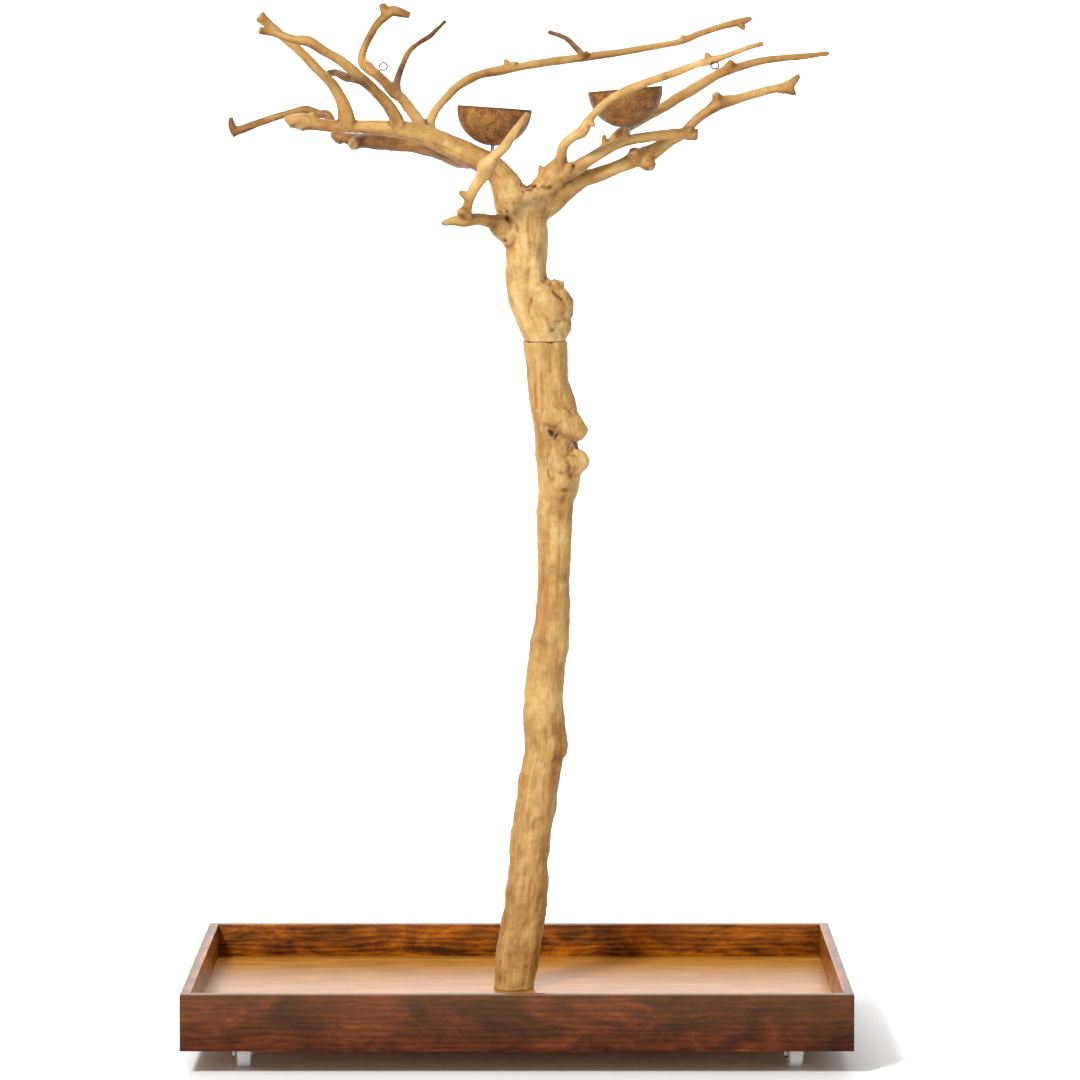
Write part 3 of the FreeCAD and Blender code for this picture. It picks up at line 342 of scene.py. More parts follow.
# Each light's place, the point it faces, its side in metres and its power in watts.
LIGHTS = {
    "key_light": ((-2.1, -3.7, 3.7), (0, 0, 0.7), 0.8, 265),
    "fill_light": ((3.0, -4.2, 1.8), (0, 0, 0.8), 2.5, 18),
    "backdrop_light": ((0, 2.6, 4.6), (0, 7, 0.6), 4.0, 430),
}


def soft_light(name, place, target, size, power):
    """A square area light at a place, facing a target."""
    lamp = bpy.data.lights.new(name, "AREA")
    lamp.shape = "SQUARE"
    lamp.size = size
    lamp.energy = power
    thing = bpy.data.objects.new(name, lamp)
    thing.location = place
    facing = Vector(target) - Vector(place)
    thing.rotation_euler = facing.to_track_quat("-Z", "Y").to_euler()
    scene.collection.objects.link(thing)
    print(name, "gives", power, "W")


for light_name, light in LIGHTS.items():
    soft_light(light_name, *light)

# %% [markdown]
# ## Camera
#
# The camera stands about seven metres away, at the height of the crown, and looks slightly
# down, so that the tray shows its inside. A long lens from far away keeps the tray's sides
# nearly parallel; a short lens close by would spread them.

# %% Camera
LENS = 164.5
SENSOR_WIDTH = 36.0
CAMERA_PLACE = (0.0312, -6.914, 1.273)
LOOKS_DOWN = 4.709
camera_data = bpy.data.cameras.new("camera")
camera_data.lens = LENS
camera_data.sensor_width = SENSOR_WIDTH
camera = bpy.data.objects.new("camera", camera_data)
camera.location = CAMERA_PLACE
camera.rotation_euler = (math.radians(90 - LOOKS_DOWN), 0, 0)
scene.collection.objects.link(camera)
scene.camera = camera
print("the camera looks down by", LOOKS_DOWN, "degrees")

# %% [markdown]
# ## Building finishes
#
# A finish is a small network of nodes. One helper adds a node, sets its values and links what
# feeds it, so that each material below reads like a recipe.

# %% Material helpers
class Finish:
    """A new material with its Principled shader, and short ways to add nodes to it."""

    def __init__(self, name):
        self.material = bpy.data.materials.new(name)
        self.material.use_nodes = True
        self.tree = self.material.node_tree
        self.shader = self.tree.nodes["Principled BSDF"]
        print("finish:", name)

    def add(self, kind, values=None, **settings):
        node = self.tree.nodes.new("ShaderNode" + kind)
        for key, value in settings.items():
            setattr(node, key, value)
        self.feed(node, values or {})
        return node

    def feed(self, node, values):
        for key, value in values.items():
            if isinstance(value, bpy.types.NodeSocket):
                self.tree.links.new(value, node.inputs[key])
            else:
                node.inputs[key].default_value = value

    def shade(self, **values):
        self.feed(self.shader, {key.replace("_", " "): value for key, value in values.items()})

    def own(self, name):
        """A value that the mesh carries at each vertex."""
        return self.add("Attribute", attribute_name=name).outputs

    def stretched(self, vector, scale):
        """A place, scaled by its own amount on each axis."""
        return self.add("Mapping", {"Vector": vector, "Scale": scale}).outputs["Vector"]

    def place(self, scale=(1, 1, 1)):
        """Object coordinates, stretched."""
        return self.stretched(self.add("TexCoord").outputs["Object"], scale)

    def noise(self, vector, scale, detail=4.0, roughness=0.55, distortion=0.0):
        values = {"Vector": vector, "Scale": scale, "Detail": detail, "Roughness": roughness}
        values["Distortion"] = distortion
        return self.add("TexNoise", values).outputs["Fac"]

    def ramp(self, factor, stops):
        """A colour or grey for each stop (place, colour) of a factor."""
        node = self.add("ValToRGB", {"Fac": factor})
        elements = node.color_ramp.elements
        while len(elements) < len(stops):
            elements.new(0.5)
        for element, (place, colour) in zip(elements, stops):
            element.position = place
            element.color = (*colour, 1) if isinstance(colour, tuple) else (colour, colour, colour, 1)
        return node.outputs["Color"]

    def mix(self, factor, a, b, blend="MIX"):
        node = self.add("Mix", data_type="RGBA", blend_type=blend)
        self.feed(node, {0: factor})
        for index, value in ((6, a), (7, b)):
            if isinstance(value, tuple) and len(value) == 3:
                value = (*value, 1)
            self.feed(node, {index: value})
        return node.outputs[2]

    def math(self, kind, a, b=0.0, c=0.0):
        return self.add("Math", {0: a, 1: b, 2: c}, operation=kind).outputs[0]

    def blended(self, start, patterns):
        """Start plus weight * (pattern - 0.5) for each pattern, whose mean is about 0.5."""
        total = start
        for pattern, weight in patterns:
            centred = self.math("SUBTRACT", total, weight / 2)
            total = self.math("MULTIPLY_ADD", pattern, weight, centred)
        return total

    def bump(self, height, distance, strength=1.0):
        values = {"Height": height, "Distance": distance, "Strength": strength}
        return self.add("Bump", values).outputs["Normal"]


# %% [markdown]
# ## The tree's wood
#
# The stand's tree is a cleaned, dried branch: bark off, worn smooth, and honey coloured, with
# pale patches where it was rubbed and red-brown streaks along the grain; its hollows at knots
# and forks are darkened with painted shade. The mesh carries where each point lies along and
# round its limb, so the grain can follow every bend, and it carries how pale, how red and how
# dark the wood is there, painted shade and painted light included.

# %% Tree wood
def branch_wood():
    """Honey wood: tones by grain and mottle, then red streaks, pores, flecks, painted shade in hollows,
    cut ends.
    """
    wood = Finish("branch_wood")
    grain = wood.own("grain")["Vector"]
    pale = wood.own("pale")["Fac"]
    red = wood.own("red")["Fac"]
    knot_eyes_and_painted_shade = wood.own("knot_eyes_and_painted_shade")["Fac"]
    cut = wood.own("cut")["Fac"]
    fine = wood.noise(wood.stretched(grain, (620, 620, 38)), 1.0, 5, 0.6)
    streak = wood.noise(wood.stretched(grain, (170, 170, 9)), 1.0, 4, 0.55)
    scattered = wood.noise(wood.stretched(grain, (210, 210, 60)), 1.0, 3, 0.6)
    mottle = wood.noise(wood.place(), 62.0, 5, 0.6, 0.4)
    speck = wood.noise(wood.place(), 420.0, 3, 0.6)
    tone = wood.blended(pale, ((mottle, 0.50), (streak, 0.26), (fine, 0.22), (speck, 0.16)))
    body = wood.ramp(
        tone,
        [
            (0.05, (0.110, 0.045, 0.013)),
            (0.28, (0.270, 0.122, 0.030)),
            (0.48, (0.430, 0.235, 0.066)),
            (0.68, (0.545, 0.335, 0.115)),
            (0.92, (0.690, 0.480, 0.220)),
        ],
    )
    warm = wood.mix(wood.math("MULTIPLY", red, 0.62), body, (0.33, 0.118, 0.026))
    grooves = wood.ramp(fine, [(0.30, 1.0), (0.44, 0.0)])
    lined = wood.mix(wood.math("MULTIPLY", grooves, 0.16), warm, (0.13, 0.058, 0.020))
    flecks = wood.ramp(scattered, [(0.64, 0.0), (0.74, 1.0)])
    flecked = wood.mix(wood.math("MULTIPLY", flecks, 0.40), lined, (0.115, 0.046, 0.015))
    # Painted shade: the wood goes nearly black in hollows, creases and forks, and in knot eyes.
    hollow_painted_shade = wood.mix(knot_eyes_and_painted_shade, flecked, (0.045, 0.018, 0.007))
    heart = wood.ramp(mottle, [(0.35, 0.0), (0.62, 1.0)])
    end_grain = wood.mix(heart, (0.52, 0.36, 0.17), (0.24, 0.12, 0.045))
    colour = wood.mix(cut, hollow_painted_shade, end_grain)
    height = wood.math("MULTIPLY_ADD", fine, 0.7, wood.math("MULTIPLY", speck, 0.3))
    roughness = wood.math("MULTIPLY_ADD", streak, 0.22, 0.42)
    wood.shade(
        Base_Color=colour,
        Roughness=roughness,
        Normal=wood.bump(height, 0.0006, 0.55),
    )
    wood.shader.inputs["Specular IOR Level"].default_value = 0.3
    return wood.material


BRANCH_WOOD = branch_wood()

# %% [markdown]
# ## The tree's limbs
#
# A limb is a row of stations, each with its place and its width in millimetres. A smooth curve
# through them, in cubic pieces, gives the middle line, and an uneven ring carried along it
# gives the surface. The limbs are the same as in the CAD model, with more stations, so the
# real limb's kinks, swellings and blunt ends show.

# %% Limb stations
LIMBS = {
    "lower_trunk": [
        (-6, 20, 64, 61), (0, 22, 118, 61), (7, 24, 167, 60), (13, 26, 217, 60), (18, 30, 267, 58),
        (27, 34, 338, 60), (35, 36, 385, 57), (40, 36, 405, 60), (37, 34, 473, 57),
        (45, 33, 552, 54), (50, 34, 616, 49), (52, 36, 693, 48), (53, 38, 750, 49),
        (58, 38, 788, 60), (54, 38, 842, 60), (45, 36, 892, 58), (41, 36, 955, 59),
        (38, 36, 981, 64),
    ],
    "crown_stem": [
        (38, 36, 981, 64), (33, 34, 1004, 69), (24, 32, 1028, 67), (13, 30, 1057, 59),
        (10, 30, 1089, 58), (12, 30, 1117, 60), (10, 30, 1145, 66), (10, 29, 1169, 72),
        (13, 29, 1177, 65), (15, 29, 1184, 56), (18, 29, 1191, 44), (21, 30, 1196, 32),
        (23, 31, 1200, 16),
    ],
    "left_main_limb": [
        (-1, 29, 1170, 62), (-11, 27, 1194, 50), (-27, 24, 1219, 37), (-53, 20, 1236, 34),
        (-91, 14, 1254, 31), (-139, 4, 1274, 27), (-177, -6, 1280, 22), (-217, -12, 1282, 18),
        (-250, -16, 1283, 17), (-279, -20, 1286, 17), (-293, -21, 1289, 24), (-307, -22, 1290, 23),
        (-319, -23, 1290, 15),
    ],
    "left_low_branch": [
        (-60, 20, 1237, 28), (-81, 50, 1240, 29), (-106, 80, 1249, 28), (-139, 110, 1257, 27),
        (-172, 130, 1259, 25), (-206, 145, 1262, 22), (-232, 155, 1264, 19), (-252, 163, 1268, 14),
        (-262, 168, 1277, 13), (-272, 172, 1299, 13), (-284, 176, 1301, 13), (-305, 182, 1307, 13),
        (-325, 188, 1303, 11), (-368, 198, 1290, 11), (-403, 204, 1277, 12), (-412, 206, 1274, 13),
    ],
    "left_tip_branch": [
        (-238, -14, 1282, 25), (-238, -16, 1295, 23), (-244, -20, 1318, 17), (-259, -26, 1343, 15),
        (-281, -32, 1365, 14), (-303, -38, 1388, 14), (-329, -46, 1410, 14), (-357, -56, 1435, 17),
    ],
    "left_mid_branch": [
        (-168, -4, 1279, 22), (-169, -14, 1292, 20), (-180, -32, 1312, 17), (-198, -52, 1333, 15),
        (-216, -72, 1349, 15), (-241, -92, 1371, 14), (-265, -106, 1385, 14), (-287, -116, 1399, 17),
        (-308, -124, 1402, 14), (-330, -132, 1409, 12), (-353, -140, 1413, 11),
    ],
    "left_mid_twig": [
        (-216, -72, 1347, 14), (-238, -35, 1351, 12), (-252, 0, 1357, 11), (-266, 25, 1357, 10),
    ],
    "left_back_branch": [
        (-138, 4, 1272, 25), (-138, 20, 1288, 18), (-150, 45, 1305, 17), (-163, 66, 1322, 15),
        (-175, 78, 1331, 16), (-187, 92, 1344, 14), (-198, 104, 1354, 14), (-214, 116, 1367, 17),
        (-222, 122, 1377, 13), (-219, 128, 1393, 11), (-212, 128, 1408, 11), (-200, 124, 1427, 12),
        (-187, 120, 1439, 14), (-178, 118, 1446, 17), (-167, 118, 1444, 15), (-153, 118, 1440, 9),
    ],
    "left_back_twig": [
        (-169, 72, 1327, 14), (-171, 88, 1341, 11), (-169, 102, 1354, 10), (-163, 118, 1371, 9),
        (-155, 134, 1389, 9), (-142, 146, 1401, 8), (-126, 158, 1411, 8), (-115, 166, 1422, 7),
        (-104, 174, 1433, 7),
    ],
    "long_arch_branch": [
        (-123, 8, 1268, 22), (-122, 20, 1289, 13), (-115, 34, 1306, 12), (-101, 48, 1323, 12),
        (-86, 60, 1338, 13), (-67, 70, 1350, 13), (-49, 78, 1357, 12), (-25, 84, 1362, 14),
        (3, 90, 1367, 12), (46, 98, 1374, 13), (98, 106, 1381, 12), (147, 112, 1388, 11),
        (182, 116, 1394, 10), (228, 120, 1402, 10), (255, 122, 1413, 10), (287, 124, 1424, 10),
        (315, 126, 1431, 12), (332, 128, 1436, 7),
    ],
    "arch_twig": [
        (93, 104, 1381, 11), (81, 130, 1396, 9), (67, 155, 1409, 8), (44, 185, 1418, 7),
    ],
    "front_spur": [
        (-11, 29, 1146, 37), (-34, -8, 1150, 22), (-54, -32, 1154, 18), (-72, -54, 1152, 17),
        (-87, -64, 1152, 14), (-104, -74, 1149, 7),
    ],
    "front_perch": [
        (-71, -54, 1155, 17), (-71, -58, 1167, 15), (-68, -62, 1178, 14), (-61, -70, 1195, 15),
        (-50, -80, 1212, 18), (-42, -88, 1228, 26), (-35, -92, 1237, 19), (-28, -97, 1245, 15),
        (-16, -104, 1257, 14), (-1, -115, 1280, 11), (15, -126, 1300, 10),
    ],
    "right_knuckle": [
        (21, 29, 1169, 54), (37, 26, 1194, 42), (49, 20, 1211, 36), (56, 14, 1222, 34),
        (61, 7, 1236, 20),
    ],
    "right_front_branch": [
        (60, 9, 1231, 20), (61, 2, 1243, 15), (65, -8, 1257, 14), (77, -20, 1268, 14),
        (91, -32, 1277, 17), (99, -42, 1292, 12), (114, -54, 1308, 12), (131, -66, 1322, 11),
        (153, -78, 1334, 12), (178, -90, 1343, 11), (211, -102, 1354, 11), (245, -114, 1367, 10),
        (267, -122, 1373, 12), (289, -128, 1380, 9), (316, -136, 1390, 8), (336, -142, 1396, 8),
    ],
    "right_cup_branch": [
        (54, 16, 1217, 31), (72, 15, 1219, 22), (97, 15, 1235, 18), (126, 18, 1251, 16),
        (154, 20, 1263, 15), (186, 20, 1269, 15), (220, 18, 1273, 15), (241, 16, 1272, 18),
        (252, 15, 1272, 16),
    ],
    "right_back_branch": [
        (84, 15, 1226, 20), (103, 34, 1240, 15), (124, 54, 1254, 15), (141, 74, 1271, 15),
        (158, 90, 1283, 14), (173, 104, 1291, 14), (202, 126, 1308, 15), (231, 146, 1325, 16),
        (253, 158, 1338, 16), (274, 168, 1351, 14), (297, 176, 1362, 15), (320, 182, 1369, 13),
        (348, 188, 1377, 12), (382, 194, 1381, 10), (413, 200, 1384, 9), (446, 206, 1388, 7),
    ],
    "right_low_branch": [
        (20, 30, 1162, 40), (34, 30, 1176, 46), (50, 31, 1187, 42), (66, 32, 1195, 34),
        (89, 36, 1208, 24), (118, 42, 1217, 21), (147, 46, 1228, 20), (173, 50, 1239, 25),
        (189, 52, 1246, 23), (210, 54, 1260, 18),
        (233, 56, 1274, 15), (250, 58, 1292, 14), (268, 60, 1305, 14), (285, 61, 1316, 18),
        (307, 62, 1321, 14), (334, 64, 1329, 12), (362, 66, 1336, 12), (378, 67, 1338, 17),
        (397, 70, 1355, 8),
    ],
}

# Short stubs and swellings, each a limb of its own: where a twig was cut or broken off.
STUBS = {
    "upper_trunk_burl": [
        (38, 34, 872, 66), (58, 31, 868, 60), (74, 29, 861, 48), (87, 28, 856, 34), (95, 28, 854, 18),
        (98, 28, 853, 6),
    ],
    "lower_trunk_burl": [
        (45, 35, 804, 64), (62, 33, 807, 56), (78, 31, 810, 45), (90, 30, 812, 32), (98, 29, 812, 17),
        (101, 29, 812, 6),
    ],
    "trunk_shoulder": [(46, 36, 936, 36), (56, 35, 902, 44), (62, 34, 876, 46)],
    "trunk_front_lump": [(54, 30, 790, 40), (62, 16, 786, 32), (65, 8, 784, 22), (66, 4, 783, 10)],
    "stem_burl": [
        (24, 32, 1036, 72), (40, 30, 1033, 70), (54, 28, 1029, 62), (66, 27, 1025, 46),
        (73, 26, 1022, 30), (77, 26, 1021, 10),
    ],
    "stem_burl_foot": [
        (36, 34, 1000, 62), (52, 32, 1004, 56), (63, 30, 1005, 44), (71, 29, 1004, 30),
        (76, 28, 1004, 10),
    ],
    "broken_stub": [(44, 29, 1046, 30), (54, 26, 1056, 19), (58, 24, 1062, 15), (60, 24, 1067, 11)],
    "broken_stub_splinter": [(50, 22, 1052, 16), (52, 17, 1061, 9), (51, 15, 1068, 4)],
    "red_knot": [(60, 24, 1036, 24), (69, 20, 1041, 17), (73, 18, 1044, 9)],
    "spur_collar": [(-4, 24, 1132, 44), (-20, 8, 1140, 34), (-32, -5, 1148, 24)],
    "collar_spike_left": [(34, 20, 1204, 22), (35, 11, 1216, 15), (31, 6, 1227, 9), (28, 4, 1232, 4)],
    "collar_spike_right": [(62, 8, 1214, 20), (70, 2, 1224, 12), (75, -2, 1234, 5)],
    "collar_spike_back": [(40, 32, 1198, 26), (46, 40, 1214, 14), (48, 44, 1226, 5)],
    "perch_stub": [(-66, -64, 1182, 13), (-75, -71, 1189, 11), (-79, -75, 1192, 10)],
    "perch_knot": [(-72, -58, 1160, 18), (-79, -70, 1166, 12), (-81, -74, 1168, 5)],
    "arch_bud": [(-14, 87, 1364, 12), (-15, 86, 1372, 9), (-19, 85, 1377, 6)],
    "arch_bud_twin": [(-10, 87, 1365, 11), (-5, 85, 1372, 8), (-2, 84, 1374, 5)],
    "low_stub_face": [(-222, 151, 1262, 20), (-231, 141, 1260, 20), (-236, 134, 1258, 18)],
    "low_elbow": [(-250, 162, 1265, 18), (-262, 166, 1270, 15), (-268, 166, 1268, 6)],
    "low_tip_bud": [(-408, 205, 1276, 13), (-412, 203, 1286, 10), (-413, 202, 1297, 7)],
    "tip_burr_low": [(-292, -22, 1288, 22), (-300, -27, 1284, 17), (-304, -30, 1282, 8)],
    "tip_burr_top": [(-284, -21, 1289, 18), (-287, -24, 1299, 12), (-287, -25, 1302, 6)],
    "tip_burr_end": [(-304, -23, 1290, 22), (-316, -25, 1292, 17), (-325, -27, 1294, 7)],
    "hook_claw": [(-186, 119, 1440, 14), (-190, 116, 1450, 12), (-191, 115, 1457, 9)],
    "cup_branch_bud": [(228, 17, 1273, 15), (240, 10, 1278, 13), (245, 5, 1280, 6)],
    "cup_branch_snag": [(152, 18, 1266, 10), (150, 10, 1275, 6), (149, 6, 1281, 3)],
    "low_branch_burr": [
        (176, 50, 1238, 26), (184, 44, 1230, 22), (188, 41, 1225, 15), (189, 40, 1223, 8),
    ],
    "low_branch_eye": [
        (166, 48, 1236, 24), (164, 38, 1243, 20), (163, 32, 1247, 17), (162, 30, 1249, 13),
    ],
    "low_branch_knob": [(284, 61, 1316, 18), (280, 58, 1324, 14), (278, 56, 1329, 10)],
    "low_branch_claw": [(378, 67, 1338, 16), (387, 66, 1331, 11), (391, 66, 1327, 5)],
    "back_branch_knob": [(297, 176, 1362, 16), (302, 174, 1372, 12), (306, 173, 1377, 8)],
    "back_branch_snag": [(124, 54, 1256, 13), (121, 52, 1266, 9), (120, 51, 1272, 6)],
    "front_branch_knob": [(264, -121, 1373, 11), (260, -122, 1380, 8), (258, -122, 1384, 5)],
    "front_branch_thorn": [(98, -42, 1290, 13), (104, -46, 1286, 9), (107, -48, 1283, 6)],
    "arch_tip_bud": [(314, 126, 1431, 11), (318, 120, 1424, 9), (320, 117, 1420, 7)],
    "arch_kink": [(232, 120, 1403, 11), (234, 119, 1409, 7), (235, 119, 1412, 4)],
    "arch_twig_collar": [(92, 105, 1380, 12), (96, 98, 1386, 8), (99, 94, 1388, 5)],
}
TRUNK_STUBS = ["upper_trunk_burl", "lower_trunk_burl", "trunk_shoulder", "trunk_front_lump"]
CROWN = [name for name in LIMBS if name != "lower_trunk"]
CROWN_STUBS = [name for name in STUBS if name not in TRUNK_STUBS]
BLUNT_LIMBS = [name for name in CROWN if name not in ("crown_stem", "right_knuckle")]
print("the tree has", len(LIMBS), "limbs and", len(STUBS), "stubs")

# %% [markdown]
# ## Carrying the rings
#
# Each ring is a little out of round and a little uneven, more on a thick limb. Its ends are
# closed flat, as sawn or broken ends are. All the closed tubes of the crown are then joined
# into one skin, because the real crown is one grown piece: a voxel remesh drops what lies
# inside and leaves one even skin that runs from limb to limb.

# %% Limb tubes
STATION_STEP = 3 * MM


def smooth_line(rows):
    """A smooth curve through the stations, at even steps: (x, y, z, width) in metres.

    Between stations b and c, with a before and d after, it is half of
    2b + (c-a)t + (2a-5b+4c-d)t^2 + (3b-a-3c+d)t^3.
    """
    rows = np.asarray(rows, float) * MM
    ends = np.concatenate([2 * rows[:1] - rows[1:2], rows, 2 * rows[-1:] - rows[-2:-1]])
    u = np.linspace(0, len(rows) - 1, 40 * len(rows))
    i = np.minimum(u.astype(int), len(rows) - 2)
    t = (u - i)[:, None]
    a, b, c, d = (ends[i + k] for k in range(4))
    curve = 2 * b + (c - a) * t + (2 * a - 5 * b + 4 * c - d) * t**2 + (3 * b - a - 3 * c + d) * t**3
    curve = 0.5 * curve
    run = np.concatenate([[0], np.cumsum(np.linalg.norm(np.diff(curve[:, :3], axis=0), axis=1))])
    even = np.linspace(0, run[-1], max(int(run[-1] / STATION_STEP), 4))
    return np.stack([np.interp(even, run, curve[:, k]) for k in range(4)], -1), even


def limb_tube(rows, seed, flat_foot=False):
    """Point = centre + width / 2 (1 + unevenness) (cos a first + sin a second).

    The unevenness is smooth noise over the ring's direction and the distance along the limb.
    """
    line, run = smooth_line(rows)
    tangent, first, second = frames_along(line[:, :3])
    if flat_foot:
        first = first * 0 + np.array([1.0, 0, 0])
        second = second * 0 + np.array([0, 1.0, 0])
    sides = int(np.clip(line[:, 3].max() / (1.6 * MM), 14, 64))
    angle = np.linspace(0, 2 * np.pi, sides, endpoint=False)[None, :, None]
    ring = np.cos(angle) * first[:, None] + np.sin(angle) * second[:, None]
    along = np.broadcast_to((run / (45 * MM))[:, None, None], ring.shape[:2] + (1,))
    spots = np.concatenate([np.cos(angle) + 0 * along, np.sin(angle) + 0 * along, along], -1)
    uneven = 0.08 * noise(spots, seed) + 0.05 * noise(spots * 2.3, seed + 5)
    radius = line[:, 3][:, None, None] / 2 * (1 + uneven[..., None])
    return capped(line[:, None, :3] + radius * ring)


# The crown has more skin than the trunk, so its steps are a little coarser.
TRUNK_VOXEL = 1.6 * MM
CROWN_VOXEL = 2.0 * MM


def grown_together(name, tubes, voxel, rounds):
    """Closed tubes joined into one skin by a voxel remesh, then relaxed a few rounds."""
    rough_mesh = mesh_of(name + "_tubes", tubes)
    thing = bpy.data.objects.new(name + "_tubes", rough_mesh)
    bpy.context.scene.collection.objects.link(thing)
    remesh = thing.modifiers.new("one_skin", "REMESH")
    remesh.mode = "VOXEL"
    remesh.voxel_size = voxel
    relax = thing.modifiers.new("relaxed", "SMOOTH")
    relax.factor = 0.5
    relax.iterations = rounds
    ready = thing.evaluated_get(bpy.context.evaluated_depsgraph_get())
    mesh = bpy.data.meshes.new_from_object(ready)
    mesh.name = name
    bpy.data.objects.remove(thing)
    bpy.data.meshes.remove(rough_mesh)
    return mesh


def limb_set(names):
    """The tubes of some limbs and stubs, each with its own unevenness."""
    rows = {**LIMBS, **STUBS}
    upright = ("lower_trunk", "crown_stem")
    return [limb_tube(rows[name], 7 * k + 3, name in upright) for k, name in enumerate(names)]


crown_mesh = grown_together("crown", limb_set(CROWN + CROWN_STUBS), CROWN_VOXEL, 2)
trunk_mesh = grown_together("trunk", limb_set(["lower_trunk"] + TRUNK_STUBS), TRUNK_VOXEL, 3)
print("crown faces", len(crown_mesh.polygons), "trunk faces", len(trunk_mesh.polygons))

# %% [markdown]
# ## Where each point lies on the tree
#
# For the grain, each vertex needs its limb: the nearest middle line, counted from the limb's
# own surface. Near a fork two limbs claim a vertex, and their claims are blended, so the
# grain turns from one limb into the next as it does in grown wood.

# %% Limb places
LIMB_LINES = {}
for limb_name in LIMBS:
    line, run = smooth_line(LIMBS[limb_name])
    LIMB_LINES[limb_name] = (line, run, frames_along(line[:, :3]))
# A child's grain goes on from the distance at which its parent is left.
PARENTS = {
    "left_main_limb": "crown_stem", "right_knuckle": "crown_stem", "front_spur": "crown_stem",
    "right_low_branch": "crown_stem", "front_perch": "front_spur",
    "left_low_branch": "left_main_limb", "left_tip_branch": "left_main_limb",
    "left_mid_branch": "left_main_limb", "left_back_branch": "left_main_limb",
    "long_arch_branch": "left_main_limb", "left_mid_twig": "left_mid_branch",
    "left_back_twig": "left_back_branch", "arch_twig": "long_arch_branch",
    "right_front_branch": "right_knuckle", "right_cup_branch": "right_knuckle",
    "right_back_branch": "right_cup_branch",
}
for child, parent in PARENTS.items():
    line, run, square = LIMB_LINES[child]
    parent_line, parent_run, _ = LIMB_LINES[parent]
    nearest = np.linalg.norm(parent_line[:, :3] - line[0, :3], axis=1).argmin()
    LIMB_LINES[child] = (line, run + parent_run[nearest], square)

# Painted shade: the limbs at the back and the thin twigs are darker than the rest; the crown stem, with
# a negative value, is paler.
LIMB_PAINTED_SHADE = {
    "crown_stem": -0.15, "left_main_limb": 0.05, "left_tip_branch": 0.06,
    "left_low_branch": 0.32, "left_mid_branch": 0.08, "left_mid_twig": 0.48,
    "left_back_branch": 0.22, "left_back_twig": 0.40, "long_arch_branch": 0.03,
    "arch_twig": 0.45, "right_back_branch": 0.10, "right_cup_branch": 0.06,
    "right_low_branch": 0.05,
}
print("the grain runs through", len(PARENTS), "forks")


def on_limb(points, name):
    """For each point: distance outside the limb's surface, and (across, across, along)."""
    line, run, (tangent, first, second) = LIMB_LINES[name]
    centres = line[:, :3]
    gap = (points**2).sum(1)[:, None] + (centres**2).sum(1)[None] - 2 * points @ centres.T
    outside = np.sqrt(np.maximum(gap, 0)) - line[:, 3][None] / 2
    k = outside.argmin(1)
    offset = points - centres[k]
    along = run[k] + (offset * tangent[k]).sum(1)
    place = np.stack([(offset * first[k]).sum(1), (offset * second[k]).sum(1), along], -1)
    return outside[np.arange(len(points)), k], place, line[k, 3]


def blended_places(points, names, reach=2.5 * MM):
    """Each point's place and width, blended over the limbs, with what else depends on its limb.

    A limb's weight is exp(-(outside - least) / reach), made to add up to 1. How much further
    the second nearest limb is, and each limb's painted shade, are given too.
    """
    results = [on_limb(points, name) for name in names]
    outside = np.stack([result[0] for result in results])
    least = outside.min(0)
    weight = np.exp(-(outside - least) / reach)
    weight = weight / weight.sum(0)
    place = sum(w[:, None] * result[1] for w, result in zip(weight, results))
    width = sum(w * result[2] for w, result in zip(weight, results))
    limb_painted_shade = sum(w * LIMB_PAINTED_SHADE.get(name, 0.0) for w, name in zip(weight, names))
    second_nearest = np.full(len(points), 1.0)
    if len(names) > 1:
        second_nearest = np.sort(outside, 0)[1] - least
    return place, width, second_nearest, limb_painted_shade


# %% [markdown]
# ## Weathering the wood
#
# Real wood is never a smooth tube. Long shallow flutes follow the grain, small lumps break it,
# and each knot is a swollen ring with a dark eye. The skin is moved along its own normals by
# the sum of these, and the same numbers tint the wood: hollows darker with painted shade, proud
# places paler with painted light.

# %% Knots and creases
# A knot is its place (x, y, z), its radius, how far it swells and how deep its eye is, in mm.
TRUNK_KNOTS = [
    (47, 6, 853, 9, 0.6, 6.0), (54, 7, 850, 7, 0.4, 5.0), (44, 8, 880, 16, 1.6, 0.0),
    (78, 12, 832, 9, -2.5, 0.0), (72, 10, 845, 7, 1.2, 0.7), (30, 8, 560, 7, 0.8, 1.2),
    (62, 12, 650, 6, 0.7, 0.8), (10, -4, 300, 8, 0.9, 1.0), (-24, 8, 180, 7, 0.8, 0.9),
    (14, 52, 260, 9, 1.0, 1.4), (70, 50, 700, 8, 1.0, 1.2), (20, 55, 520, 8, 0.9, 1.1),
    (62, 55, 880, 10, 1.4, 1.6), (-16, -6, 120, 6, 0.6, 0.8), (14, 14, 440, 6, 0.7, 0.9),
    (52, 8, 790, 9, 1.4, 0.4), (72, 8, 800, 7, 1.2, 0.8), (90, 8, 862, 6, 0.4, 1.0),
    (94, 8, 806, 6, 0.4, 1.0), (36, 8, 812, 12, 1.0, 0.0),
]
